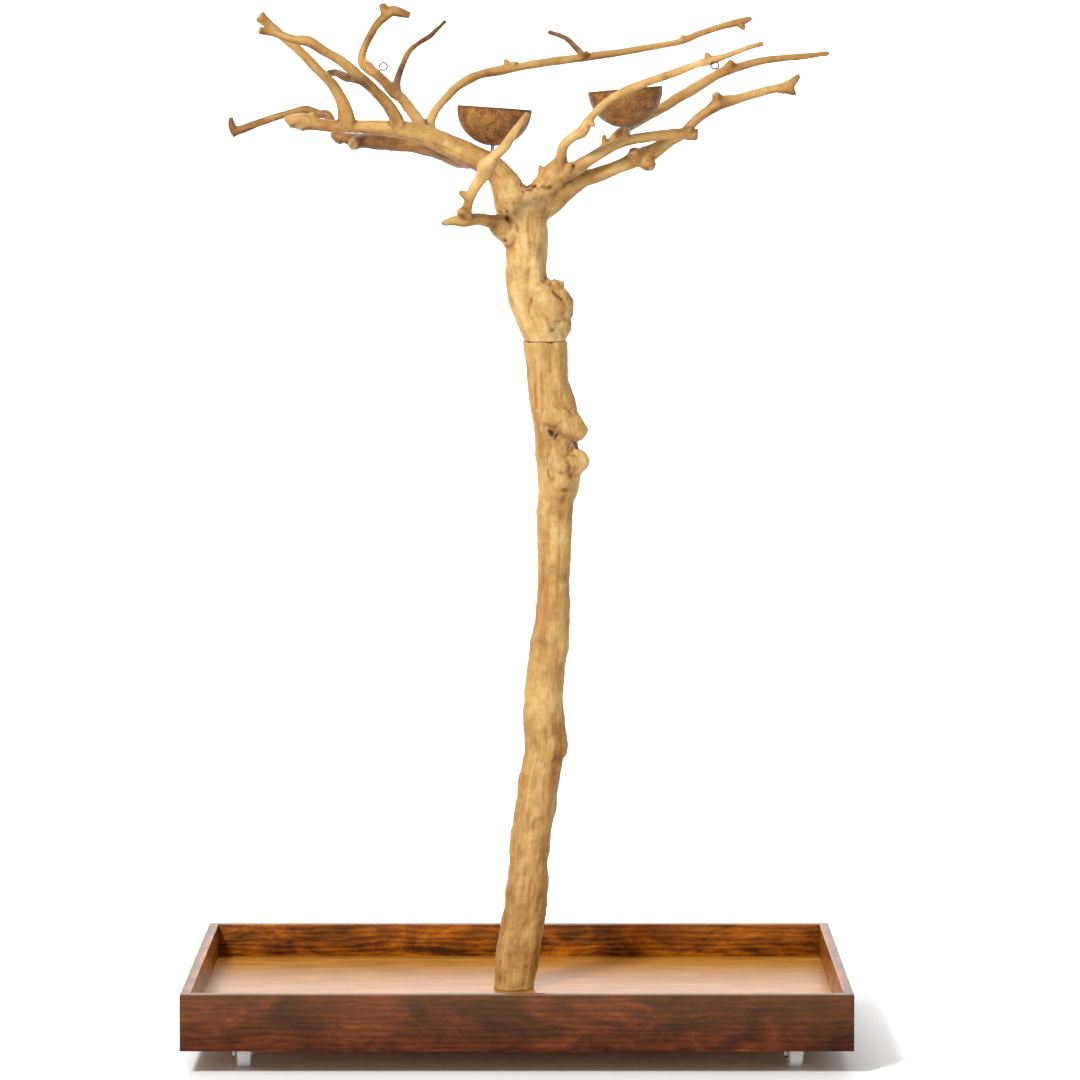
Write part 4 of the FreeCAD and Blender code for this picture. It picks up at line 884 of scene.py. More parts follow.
CROWN_KNOTS = [
    (48, 4, 998, 9, 0.8, 1.5), (17, 0, 1120, 4, 0.3, 1.3), (-2, 4, 1078, 9, 0.8, 0.5),
    (28, 4, 1110, 7, 0.6, 0.6), (38, 0, 1068, 8, -1.0, 0.0), (12, 60, 1060, 9, 1.0, 1.3),
    (-16, 36, 1110, 7, 0.9, 1.0), (40, 44, 1120, 8, 0.9, 1.2), (-30, 10, 1236, 8, 1.2, 0.8),
    (-42, 8, 1240, 6, 0.9, 0.5), (-110, 0, 1262, 6, 0.7, 0.7), (73, 18, 1040, 6, 0.2, 1.8),
    (-300, -38, 1283, 4, 0.3, 1.6), (162, 30, 1249, 5, 0.4, 1.8), (248, 4, 1280, 4, 0.3, 1.2),
    (-150, 108, 1440, 4, 0.0, 1.6), (55, -2, 1226, 7, 0.8, 0.5), (-310, -36, 1297, 3, 0.2, 1.3),
    (-290, -30, 1278, 3, 0.2, 1.2), (-72, -66, 1162, 4, 0.2, 1.2), (30, -2, 1160, 6, 0.8, 0.6),
]
# Open creases: the points that each runs through, its half width, depth and how dark its painted shade
# is.
TRUNK_CREASES = [
    ([(64, 8, 965), (68, 8, 930), (72, 10, 895), (75, 14, 876)], 4.5, 1.6, 0.55),
    ([(84, 12, 838), (76, 8, 834), (70, 6, 822), (74, 6, 796)], 4.0, 2.2, 0.6),
    ([(44, 6, 838), (40, 7, 815), (44, 8, 785)], 6.0, 1.6, 0.25),
    ([(34, 4, 868), (50, 3, 862), (60, 5, 868)], 4.0, 0.8, 0.35),
    ([(-30, 4, 90), (-24, 0, 130), (-20, 0, 175)], 3.0, 1.0, 0.5),
    ([(14, 60, 130), (26, 58, 230), (40, 62, 330)], 5.0, 1.6, 0.4),
    ([(82, 44, 720), (80, 46, 660), (74, 48, 600)], 4.0, 1.2, 0.4),
]
CROWN_CREASES = [
    ([(14, 2, 1201), (14, 12, 1204), (14, 30, 1205), (13, 50, 1203)], 9.0, 2.4, 1.2),
    ([(14, 6, 1202), (26, 4, 1200), (38, 3, 1198), (46, 4, 1197)], 4.0, 1.6, 0.9),
    ([(66, 8, 1194), (84, 14, 1206), (104, 16, 1220), (116, 24, 1226)], 3.0, 1.2, 0.9),
    ([(-16, 0, 1176), (-15, -2, 1150), (-18, 2, 1122)], 3.5, 2.0, 0.8),
    ([(47, 0, 1064), (52, 2, 1050), (62, 4, 1042)], 3.0, 2.0, 0.85),
    ([(20, 56, 1196), (10, 58, 1180), (-4, 50, 1190)], 4.0, 2.0, 0.8),
]


def knot_field(points, knots):
    """Height and darkness of the knots.

    A knot lifts the skin by swell * exp(-(d/r)^2) and sinks its eye by depth * exp(-(2.2 d/r)^2),
    where d is the distance from its middle. The eye is darker the deeper it sinks: partly the
    knot's own dark wood and partly painted shade in the pit.
    """
    lift = np.zeros(len(points))
    shade = np.zeros(len(points))
    for x, y, z, radius, swell, depth in knots:
        d = np.linalg.norm(points - np.array([x, y, z]) * MM, axis=1) / (radius * MM)
        d = d * (1 + 0.35 * noise(points / (3 * MM), 61))
        eye = np.exp(-((2.2 * d) ** 2))
        lift += (swell * np.exp(-(d**2)) - depth * eye) * MM
        shade += eye * min(depth / 1.6, 1.0) + 0.22 * np.exp(-((d - 1) ** 2) * 6) * (depth > 0.4)
    return lift, np.clip(shade, 0, 1)


def crease_field(points, creases):
    """Height and painted shade of the creases: both fall off as exp(-(d/w)^2) from the line."""
    lift = np.zeros(len(points))
    shade = np.zeros(len(points))
    for route, half_width, depth, darkness in creases:
        route = np.array(route) * MM
        d = np.full(len(points), 1.0)
        for a, b in zip(route[:-1], route[1:]):
            t = np.clip((points - a) @ (b - a) / ((b - a) @ (b - a)), 0, 1)
            d = np.minimum(d, np.linalg.norm(points - a - t[:, None] * (b - a), axis=1))
        d = d / (half_width * MM) * (1 + 0.5 * noise(points / (4 * MM), 67))
        fall = np.exp(-(d**2))
        lift -= depth * MM * fall
        shade = np.maximum(shade, darkness * np.exp(-((1.6 * d) ** 2)))
    return lift, shade


# %% Reading and storing values at the vertices
def normals_of(mesh):
    out = np.empty(len(mesh.vertices) * 3)
    mesh.vertex_normals.foreach_get("vector", out)
    return out.reshape(-1, 3)


def points_of(mesh):
    out = np.empty(len(mesh.vertices) * 3)
    mesh.vertices.foreach_get("co", out)
    return out.reshape(-1, 3)


def spread(mesh, values, rounds):
    """Each value becomes the mean of its neighbours along the mesh's edges, so many times."""
    edges = np.empty(len(mesh.edges) * 2, np.int32)
    mesh.edges.foreach_get("vertices", edges)
    a, b = edges.reshape(-1, 2).T
    count = len(values)
    degree = np.maximum(np.bincount(a, minlength=count) + np.bincount(b, minlength=count), 1)
    for _ in range(rounds):
        columns = []
        for column in values.T:
            total = np.bincount(a, column[b], count) + np.bincount(b, column[a], count)
            columns.append(total / degree)
        values = np.stack(columns, -1)
    return values


def carry(mesh, name, values, kind="FLOAT"):
    """Store a value at each vertex, for the material to read."""
    layer = mesh.attributes.new(name, kind, "POINT")
    layer.data.foreach_set("vector" if kind == "FLOAT_VECTOR" else "value", np.ravel(values))


def grained(place, across, along, seed, octaves=1):
    """Noise in cells that are long in the grain's direction, with their sizes in millimetres."""
    return rough(place / (np.array([across, across, along]) * MM), seed, octaves)


def distance_to(points, places):
    """How far each point is from the nearest of some places, at most a metre."""
    nearest = np.full(len(points), 1.0)
    for place in places:
        nearest = np.minimum(nearest, np.linalg.norm(points - np.array(place) * MM, axis=1))
    return nearest


# %% [markdown]
# ## Skin and tints
#
# A photograph could be laid on the wood, but it would fit one tree only. Here each pattern is
# worked out from a point's place on its limb. It moves the skin first, so that the lumps are
# real and catch the light, and then it tints what it moved.

# %% Weathering
FORK_REACH = 4 * MM
THIN_LIMB = 24 * MM
LIMB_SHADE_SPREAD = 90


def drawn_together(mesh, points, next_limb, width):
    """Where two thick limbs meet, each point goes towards the mean of the skin round it.

    Its share of the way is exp(-next / reach), where next is how much further the second
    nearest limb is than the nearest one.
    """
    share = np.exp(-next_limb / FORK_REACH) * (width > THIN_LIMB)
    share = spread(mesh, share[:, None], 6)
    return points + share * (spread(mesh, points, 22) - points)


def grain_lift(points, place, width):
    """How far the grain moves the skin outwards: less on a thin limb, by a power of its width.

    Long flutes and fine strands follow the limb, and lumps and grit lie anywhere.
    """
    size = np.clip(width / (60 * MM), 0.12, 1)
    flutes = grained(place, 9, 70, 11, 3)
    strands = grained(place, 2.6, 34, 23)
    lumps = rough(points / (13 * MM), 31)
    grit = noise(points / (2.4 * MM), 41)
    lift = 1.1 * flutes * size**0.75 + 0.20 * strands * size**0.5
    lift = lift + 0.9 * lumps * size**0.45 + 0.13 * grit
    return lift * MM, flutes + strands


def hollows(mesh, points, normals):
    """How deep each point lies below the mean of the skin round it, near by and further off."""
    near = ((spread(mesh, points, 8) - points) * normals).sum(1) / MM
    far = ((spread(mesh, points, 60) - points) * normals).sum(1) / MM
    return 0.5 * np.clip(near / 0.5, -1, 1.6) + 0.5 * np.clip(far / 2.6, -1, 2.2)


def weather(mesh, names, knots, creases, tips):
    """Move the skin by grain, knots, creases and rough ends, and store what the finish reads, painted
    shade included.
    """
    points = points_of(mesh)
    normals = normals_of(mesh)
    place, width, next_limb, limb_painted_shade = blended_places(points, names)
    points = drawn_together(mesh, points, next_limb, width)
    lift, ridges = grain_lift(points, place, width)
    knot_lift, knot_shade = knot_field(points, knots)
    crease_lift, crease_shade = crease_field(points, creases)
    end_near = distance_to(points, tips)
    end_rough = 0.07 * np.exp(-((end_near / (9 * MM)) ** 2)) * np.clip(width, 8 * MM, 26 * MM)
    end_lift = end_rough * rough(points / (4 * MM), 71, 2)
    points = points + normals * (lift + knot_lift + crease_lift + end_lift)[:, None]

    hollow_painted_shade = hollows(mesh, points, normals)
    # Painted shade at forks, where a second limb lies close to the skin.
    fork_painted_shade = np.exp(-next_limb / (2 * MM)) * np.clip(hollow_painted_shade + 0.2, 0, 1)
    # Each limb's painted shade is blurred over the skin across the forks.
    limb_painted_shade = spread(mesh, limb_painted_shade[:, None], LIMB_SHADE_SPREAD)[:, 0]
    # Painted shade: thin limbs are darkened, in patches, where their skin faces down.
    painted_underside_shade = np.clip(-normals[:, 2] - 0.15, 0, 1) * (width < 45 * MM)
    painted_underside_shade = painted_underside_shade * np.clip(rough(points / (24 * MM), 111) + 0.75, 0, 1)
    # Painted shade and painted light: the wood is paler on proud places, darker in hollows, creases and
    # forks, and redder in hollows and creases.
    pale = 0.52 + 0.17 * grained(place, 22, 46, 91, 3) + 0.03 * ridges - 0.11 * hollow_painted_shade
    pale = pale - 0.16 * np.exp(-((end_near / (16 * MM)) ** 2)) - limb_painted_shade - 0.34 * painted_underside_shade
    red = np.clip(0.9 * grained(place, 11, 110, 101, 3) - 0.10, 0, 1)
    red = np.clip(red + 0.45 * np.clip(hollow_painted_shade, 0, 1) + 0.8 * crease_shade, 0, 1)
    knot_eyes_and_painted_shade = 0.9 * knot_shade + 0.75 * fork_painted_shade + crease_shade + 0.75 * np.clip(hollow_painted_shade - 0.55, 0, 1)
    carry(mesh, "grain", place, "FLOAT_VECTOR")
    carry(mesh, "pale", pale)
    carry(mesh, "red", red)
    carry(mesh, "knot_eyes_and_painted_shade", np.clip(knot_eyes_and_painted_shade, 0, 0.96))
    return points, normals


def put_points(mesh, points):
    mesh.vertices.foreach_set("co", points.ravel())
    mesh.update()


# %% [markdown]
# ## Trunk and crown
#
# The real tree comes apart for shipping: the crown stands on the trunk at a flat saw cut, with
# a steel stud across it. So the trunk and the crown are two pieces here too, and both are cut
# flat by limiting their heights. The trunk's foot is cut flat where it stands on the floor.

# %% Seam, foot and ends
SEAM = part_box("lower_trunk")[1][2]
SEAM_GAP = 0.2 * MM
FLOOR_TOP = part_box("lower_trunk")[0][2]
TIPS = [LIMBS[name][-1][:3] for name in BLUNT_LIMBS] + [STUBS[name][-1][:3] for name in CROWN_STUBS]

trunk_points, _ = weather(trunk_mesh, ["lower_trunk"], TRUNK_KNOTS, TRUNK_CREASES, [])
trunk_points[:, 2] = np.clip(trunk_points[:, 2], FLOOR_TOP, SEAM)
put_points(trunk_mesh, trunk_points)

crown_points, crown_normals = weather(crown_mesh, CROWN, CROWN_KNOTS, CROWN_CREASES, TIPS)
crown_points[:, 2] = np.clip(crown_points[:, 2], SEAM + SEAM_GAP, CAD_BOX[1][2])
put_points(crown_mesh, crown_points)
print("the seam is", round(SEAM / MM), "mm up, and the crown has", len(TIPS), "blunt ends")


def end_faces(points, normals, names, depth=1.4 * MM):
    """1 on the cut end of a limb: near its last station and facing along its line."""
    cut = np.zeros(len(points))
    rows = {**LIMBS, **STUBS}
    for name in names:
        line = np.asarray(rows[name], float)[:, :3] * MM
        tip, way = line[-1], unit(line[-1] - line[-2])
        offset = points - tip
        along = offset @ way
        across = np.linalg.norm(offset - along[:, None] * way, axis=1)
        facing = np.clip((normals @ way - 0.55) * 4, 0, 1)
        near = (np.abs(along) < depth + 2 * MM) & (across < rows[name][-1][3] * MM * 0.75)
        cut = np.maximum(cut, near * facing)
    return cut


carry(trunk_mesh, "cut", np.zeros(len(trunk_points)))
carry(crown_mesh, "cut", end_faces(crown_points, crown_normals, BLUNT_LIMBS + CROWN_STUBS))
for mesh in (trunk_mesh, crown_mesh):
    shade_smooth(mesh)

piece("trunk_wood", trunk_mesh, BRANCH_WOOD, "stand", ["lower_trunk"])
piece("crown_wood", crown_mesh, BRANCH_WOOD, "stand", CROWN)

# %% [markdown]
# ## Coconut shells
#
# Each cup is half a coconut shell: hard, thin and brown, scraped clean of fibre, which leaves
# fine lines that run from the pole to the rim. It is turned from one outline, an outer arc, a
# round rim and an inner arc, and then made a little uneven. The shell's fibres are long noise
# in the direction of the pole.

# %% Shell finish
def shell_finish():
    """Brown shell, its outside blotched and specked, its inside scraped, its rim and pole dark."""
    shell = Finish("coconut_shell")
    around = shell.own("around")["Vector"]
    inside = shell.own("inside")["Fac"]
    fibres = shell.noise(shell.stretched(around, (55, 55, 2.2)), 1.0, 6, 0.7)
    blotch = shell.noise(shell.place(), 85.0, 6, 0.66, 0.5)
    speck = shell.noise(shell.place(), 330.0, 4, 0.7)
    tone = shell.blended(0.38, ((blotch, 0.95), (fibres, 0.40), (speck, 0.75)))
    outer = shell.ramp(
        tone,
        [
            (0.12, (0.058, 0.020, 0.006)),
            (0.32, (0.165, 0.064, 0.014)),
            (0.50, (0.310, 0.132, 0.026)),
            (0.70, (0.440, 0.215, 0.048)),
            (0.92, (0.560, 0.330, 0.100)),
        ],
    )
    scraped = shell.math("MULTIPLY_ADD", fibres, 0.9, shell.math("MULTIPLY_ADD", blotch, 0.8, -0.35))
    inner = shell.mix(scraped, (0.060, 0.024, 0.010), (0.230, 0.118, 0.050))
    colour = shell.mix(inside, outer, inner)
    edge = shell.own("edge")["Fac"]
    colour = shell.mix(shell.math("MULTIPLY", edge, 0.75), colour, (0.060, 0.024, 0.010))
    height = shell.math("MULTIPLY_ADD", fibres, 0.6, shell.math("MULTIPLY", speck, 0.5))
    shell.shade(
        Base_Color=colour,
        Roughness=shell.math("MULTIPLY_ADD", blotch, 0.25, 0.40),
        Normal=shell.bump(height, 0.0008, 0.6),
    )
    shell.shader.inputs["Specular IOR Level"].default_value = 0.3
    return shell.material


SHELL = shell_finish()


# %% Shells
SHELL_OUTER = 53.5 * MM
SHELL_WALL = 4 * MM
SHELL_LIP = 1.5 * MM
RIM_RISE = 0.8 * MM
SCREW_HOLE = 3.15 * MM
SHELL_SIDES = 120


def shell_outline():
    """(radius, height) of an outer arc up from the hole, a round rim and an inner arc down."""
    inner = SHELL_OUTER - SHELL_WALL
    up = np.linspace(math.asin(SCREW_HOLE / SHELL_OUTER), np.pi / 2, 60)
    down = np.linspace(np.pi / 2, math.asin(SCREW_HOLE / inner), 60)
    turn = np.linspace(0, np.pi, 9)[1:-1]
    outside = SHELL_OUTER * np.stack([np.sin(up), -np.cos(up)], -1)
    inside = inner * np.stack([np.sin(down), -np.cos(down)], -1)
    rim_across = SHELL_OUTER - SHELL_WALL / 2 + SHELL_WALL / 2 * np.cos(turn)
    rim_height = SHELL_LIP - RIM_RISE + RIM_RISE * np.sin(turn)
    return outside, np.stack([rim_across, rim_height], -1), inside


def coconut_cup(name, tilt, seed):
    """Point = centre + outline turned about the pole, its radius made uneven by noise.

    Fibres and lumps press into the outside only, and the whole shell sags a little.
    """
    low, high = (np.array(corner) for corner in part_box(name))
    centre = np.array([(low[0] + high[0]) / 2, (low[1] + high[1]) / 2, low[2] + SHELL_OUTER])
    outside, rim, inside = shell_outline()
    outline = np.concatenate([outside, rim, inside])
    rows = np.arange(len(outline))
    grid = turned(outline, SHELL_SIDES)
    direction = unit(grid)
    outer_face = (rows < len(outside))[:, None]
    fibre = rough(direction * np.array([22, 22, 3]), seed)
    lumps = rough(direction * 3.1, seed + 1)
    push = (0.16 * fibre + 0.35 * lumps) * MM * outer_face
    sagging = 0.45 * MM * (noise(direction * 2.2, seed + 2) - 1)
    grid = grid + direction * ((push - np.abs(push).max()) * outer_face)[..., None]
    grid = grid + direction * sagging[..., None]
    points, quads, _ = capped(grid, caps=(False, False))

    # The outline's last point is joined to its first, which closes the hole's wall.
    first = np.arange(SHELL_SIDES)
    last = rows[-1] * SHELL_SIDES + first
    hole_wall = np.stack([last, np.roll(last, -1), np.roll(first, -1), first], -1)
    quads = np.concatenate([quads, hole_wall])
    rim_mark = np.clip(1 - np.abs(points[:, 2] - SHELL_LIP) / (5 * MM), 0, 1)
    pole_mark = np.clip((-points[:, 2] / SHELL_OUTER - 0.86) * 6, 0, 1)
    points = turn_and_move(points, about("y", tilt), centre)
    mesh = mesh_of(name + "_shell", [(points, quads, np.zeros((0, 3), int))])
    carry(mesh, "around", direction.reshape(-1, 3), "FLOAT_VECTOR")
    carry(mesh, "inside", np.repeat(rows >= len(outside) + len(rim), SHELL_SIDES).astype(float))
    carry(mesh, "edge", np.clip(rim_mark + pole_mark, 0, 1))
    piece(name + "_shell", mesh, SHELL, "stand", [name])


# Each cup's tilt in degrees and the number that its noise starts from.
CUPS = {"left": (4, 5), "right": (-5, 55)}
for side, (tilt, seed) in CUPS.items():
    coconut_cup(side + "_cup", tilt, seed)

# %% [markdown]
# ## Steel, zinc and nylon
#
# The screws are bright steel, slightly brushed, and the toy eyes a dark brushed steel wire. The
# caster pressings are zinc plated, which looks cloudy and a little darker. The wheels are white
# nylon: satin, a touch translucent, and scuffed on the tread.

# %% Metal and nylon finishes
def steel(name, colour, cloud, roughness):
    """Metal whose tint and gloss are cloudy, with fine scratches along z."""
    metal = Finish(name)
    clouds = metal.noise(metal.place(), 90.0, 5, 0.6, 0.3)
    scratches = metal.noise(metal.place((900, 900, 90)), 1.0, 4, 0.6)
    tint = metal.mix(clouds, colour, tuple(c * cloud for c in colour))
    gloss = metal.math("MULTIPLY_ADD", clouds, 0.22, roughness - 0.11)
    metal.shade(Base_Color=tint, Roughness=gloss, Normal=metal.bump(scratches, 0.0001, 0.3))
    metal.shader.inputs["Metallic"].default_value = 1.0
    return metal.material


BRIGHT_STEEL = steel("bright_steel", (0.74, 0.73, 0.71), 0.75, 0.24)
WIRE_STEEL = steel("wire_steel", (0.13, 0.12, 0.11), 0.60, 0.34)
ZINC = steel("zinc_plate", (0.52, 0.52, 0.53), 0.55, 0.38)


def nylon():
    """White plastic, greyed in scuffed patches, that lets a little light in."""
    plastic = Finish("white_nylon")
    scuffs = plastic.noise(plastic.place(), 140.0, 6, 0.65)
    dirt = plastic.ramp(scuffs, [(0.52, 0.0), (0.75, 1.0)])
    colour = plastic.mix(plastic.math("MULTIPLY", dirt, 0.35), (0.80, 0.80, 0.77), (0.42, 0.40, 0.36))
    plastic.shade(
        Base_Color=colour,
        Roughness=plastic.math("MULTIPLY_ADD", scuffs, 0.3, 0.28),
        Normal=plastic.bump(scuffs, 0.0003, 0.25),
    )
    plastic.shader.inputs["Subsurface Weight"].default_value = 0.12
    plastic.shader.inputs["Subsurface Radius"].default_value = (0.003, 0.003, 0.0025)
    return plastic.material


NYLON = nylon()


# %% [markdown]
# ## Cup screws, washers and toy eyes
#
# A pan-headed screw holds each cup. Its thread is a ridge that climbs once each turn, and the
# recess of its head is a cross pressed into the dome. A washer spreads its load. Each toy eye
# is one wire: a straight shank that is bent round into a ring.

# %% Screws and washers
def cross_recess(x, y, arm, reach, deep):
    """Depth of a cross: full inside two crossed slots with sloping walls, none outside."""
    def slot(a, b):
        sides = np.clip((arm - np.abs(a)) / (0.25 * arm) + 0.5, 0, 1)
        tips = np.clip((reach - np.abs(b)) / (0.5 * arm), 0, 1)
        return sides * tips
    return deep * np.maximum(slot(x, y), slot(y, x))


def pan_head(radius, thick, sides=48):
    """A dome, height = thick (1 - 0.35 (r / radius)^2.5), with a cross recess and eased edge."""
    r = np.concatenate([np.linspace(0.02, 0.62, 22), np.linspace(0.66, 0.97, 8)]) * radius
    angle = np.linspace(0, 2 * np.pi, sides, endpoint=False)
    x, y = r[:, None] * np.cos(angle), r[:, None] * np.sin(angle)
    top = thick * (1 - 0.35 * (np.hypot(x, y) / radius) ** 2.5)
    top = top - cross_recess(x, y, 0.13 * radius, 0.55 * radius, 0.55 * thick)
    dome = np.stack([x, y, top], -1)
    flank = [(0.985 * radius, 0.6 * thick), (radius, 0.45 * thick), (radius, 0), (0.3 * radius, 0)]
    flank = turned(eased(flank, 0.2 * thick, closed=False), sides)
    return capped(np.concatenate([dome, flank]))


def threaded_shank(radius, pitch, bottom, top, sides=24):
    """Radius falls and rises once a turn: r - depth * triangle(height / pitch - angle / 2 pi)."""
    rows = int((top - bottom) / pitch * 8)
    height = np.linspace(bottom, top, rows)[:, None]
    angle = np.linspace(0, 2 * np.pi, sides, endpoint=False)[None]
    phase = (height / pitch - angle / (2 * np.pi)) % 1
    cut_in = radius * 0.14 * np.abs(2 * phase - 1)
    r = radius - cut_in
    return capped(np.stack([r * np.cos(angle), r * np.sin(angle), height + 0 * angle], -1))


# %% Cup fixings
CUP_SCREW_RADIUS = 3 * MM
CUP_SCREW_PITCH = 1.1 * MM
CUP_HEAD_RADIUS = 5.5 * MM
CUP_HEAD_THICK = 3 * MM
WASHER_RADIUS = 8 * MM
WASHER_THICK = 1.2 * MM


def box_middle(name):
    """The middle of a node's box."""
    low, high = (np.array(corner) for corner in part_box(name))
    return (low + high) / 2


def cup_screw(side, tilt):
    """A threaded shank under a pan head, along the tilted axis of the cup."""
    low, high = (np.array(corner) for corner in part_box(side + "_cup_screw"))
    lean = about("y", tilt)
    axis = lean @ np.array([0, 0, 1.0])
    length = (high[2] - low[2] - (CUP_HEAD_RADIUS + CUP_SCREW_RADIUS) * abs(axis[0])) / axis[2]
    foot = box_middle(side + "_cup_screw") - axis * length / 2
    neck = length - CUP_HEAD_THICK
    shank = threaded_shank(CUP_SCREW_RADIUS, CUP_SCREW_PITCH, 0, neck + 0.2 * MM)
    head_points, head_quads, head_fans = pan_head(CUP_HEAD_RADIUS, CUP_HEAD_THICK)
    head = (head_points + np.array([0, 0, neck]), head_quads, head_fans)
    parts = [(turn_and_move(p, lean, foot), quads, fans) for p, quads, fans in (shank, head)]
    name = side + "_cup_pan_screw"
    piece(name, mesh_of(name, parts), BRIGHT_STEEL, "stand", [side + "_cup_screw"])


def cup_washer(side, tilt):
    """A flat ring with eased edges, turned from its four-cornered outline."""
    lean = about("y", tilt)
    axis = lean @ np.array([0, 0, 1.0])
    corners = [(SCREW_HOLE, 0), (WASHER_RADIUS, 0), (WASHER_RADIUS, WASHER_THICK),
               (SCREW_HOLE, WASHER_THICK)]
    ring = held_flat(eased(corners, 0.3 * MM), 0.2 * MM)
    ring = turned(np.concatenate([ring, ring[:1]]), 64)
    points, quads, fans = capped(ring, caps=(False, False))
    place = box_middle(side + "_cup_washer") - axis * WASHER_THICK / 2
    name = side + "_cup_flat_washer"
    mesh = mesh_of(name, [(turn_and_move(points, lean, place), quads, fans)])
    piece(name, mesh, BRIGHT_STEEL, "stand", [side + "_cup_washer"])


for side, (tilt, _) in CUPS.items():
    cup_screw(side, tilt)
    cup_washer(side, tilt)


# %% Toy eyes
EYE_RADIUS = 5.4 * MM
EYE_WIRE = 1.1 * MM
EYE_SHANK = 10 * MM
EYE_ASIDE = 0.9 * MM
SHANK_POINTS = 12
RING_POINTS = 72
UP = np.array([0, 0, 1.0])


def eye_middle(name, lean):
    """The ring's middle, from the end of the node's box that the ring reaches."""
    low, high = (np.array(corner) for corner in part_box(name))
    way = lean @ UP
    across = lean @ np.array([1.0, 0, 0])
    reach = EYE_RADIUS * np.sqrt(way**2 + across**2) + EYE_WIRE
    from_end = np.where(way > 0, high - reach, low + reach)
    return np.where(np.abs(way) < 1e-6, (low + high) / 2, from_end)


def toy_eye(name, lean):
    """A wire along the line (0, 0, s), then round a circle that stands on its end.

    The wire steps aside as it goes round, so that the ring's end passes the shank, and a short
    running mean eases the bend between them.
    """
    straight = np.linspace(0, EYE_SHANK - 1 * MM, SHANK_POINTS)
    shank = straight[:, None] * UP
    angle = np.radians(np.linspace(-90, 246, RING_POINTS))
    centre = UP * (EYE_SHANK + EYE_WIRE + EYE_RADIUS)
    aside = np.linspace(0, EYE_ASIDE, RING_POINTS)
    ring = np.stack([EYE_RADIUS * np.cos(angle), aside, EYE_RADIUS * np.sin(angle)], -1)
    line = np.concatenate([shank, centre + ring])
    padded = np.pad(line, ((2, 2), (0, 0)), mode="edge")
    line = np.stack([np.convolve(padded[:, k], np.ones(5) / 5, "valid") for k in range(3)], -1)
    points, quads, fans = capped(bar(line, EYE_WIRE, 14))
    foot = eye_middle(name, lean) - lean @ centre
    mesh = mesh_of(name + "_wire", [(turn_and_move(points, lean, foot), quads, fans)])
    piece(name + "_wire", mesh, WIRE_STEEL, "stand", [name])


toy_eye("left_screw_eye", about("y", 45))
toy_eye("right_screw_eye", about("x", 150))

# %% [markdown]
# ## Tray wood
#
# The rails are hardwood boards with a dark brown stain under gloss lacquer. The stain lies
# uneven: cloudy, darker along some grain lines and knots, and foxy orange where it took less.
# The floor is amber under the same gloss, and so smooth that it mirrors the white room at a
# low angle.

# %% Rail and floor finishes
def figured(board, along, swirl):
    """Three patterns of a board whose grain runs along x or y: its figure, fine lines, clouds.

    The figure is bands across the board, bent by a slow noise until they run in swirls.
    """
    stretch = {"x": (1, 7, 7), "y": (7, 1, 7)}[along]
    grain = board.place(stretch)
    values = {"Vector": grain, "Scale": 5.0, "Distortion": swirl, "Detail": 4.0, "Detail Scale": 1.6}
    values["Detail Roughness"] = 0.65
    bands = board.add("TexWave", values, wave_type="BANDS", bands_direction="Z").outputs["Fac"]
    lines = board.noise(board.place(tuple(2.2 * s for s in stretch)), 15.0, 6, 0.62, 0.8)
    cloud = board.noise(board.place(tuple(s**0.35 for s in stretch)), 10.0, 7, 0.66, 0.9)
    return bands, lines, cloud


def stained_rail(along):
    """Dark stain outside; the faces inside the tray are amber with painted light, a lit copy of the
    stain.
    """
    rail = Finish("stained_rail_" + along)
    bands, lines, cloud = figured(rail, along, 9.0)
    # inner marks the faces inside the tray, which are given painted light.
    inner = rail.own("inner")["Fac"]
    wear = rail.own("wear")["Fac"]
    tone = rail.blended(0.375, ((bands, 0.16), (lines, 0.34), (cloud, 1.75)))
    outer = rail.ramp(
        tone,
        [
            (0.10, (0.020, 0.004, 0.0015)),
            (0.36, (0.064, 0.013, 0.0035)),
            (0.56, (0.115, 0.024, 0.0045)),
            (0.80, (0.240, 0.056, 0.0070)),
        ],
    )
    painted_lit_amber = rail.ramp(
        tone,
        [
            (0.14, (0.050, 0.011, 0.001)),
            (0.36, (0.230, 0.058, 0.001)),
            (0.56, (0.430, 0.125, 0.001)),
            (0.80, (0.620, 0.225, 0.002)),
        ],
    )
    colour = rail.mix(inner, outer, painted_lit_amber)
    pores = rail.noise(rail.place((4, 60, 60) if along == "x" else (60, 4, 60)), 14.0, 4, 0.65)
    pits = rail.ramp(pores, [(0.36, 1.0), (0.48, 0.0)])
    colour = rail.mix(rail.math("MULTIPLY", pits, 0.28), colour, (0.018, 0.005, 0.002))
    colour = rail.mix(rail.math("MULTIPLY", wear, 0.55), colour, (0.42, 0.25, 0.13))
    rail.shade(
        Base_Color=colour,
        Roughness=rail.math("MULTIPLY_ADD", cloud, 0.20, 0.34),
        Normal=rail.bump(lines, 0.0004, 0.3),
    )
    rail.shader.inputs["Specular IOR Level"].default_value = 0.04
    rail.shader.inputs["Coat IOR"].default_value = 1.28
    rail.shader.inputs["Coat Weight"].default_value = 0.35
    rail.shader.inputs["Coat Roughness"].default_value = 0.16
    return rail.material


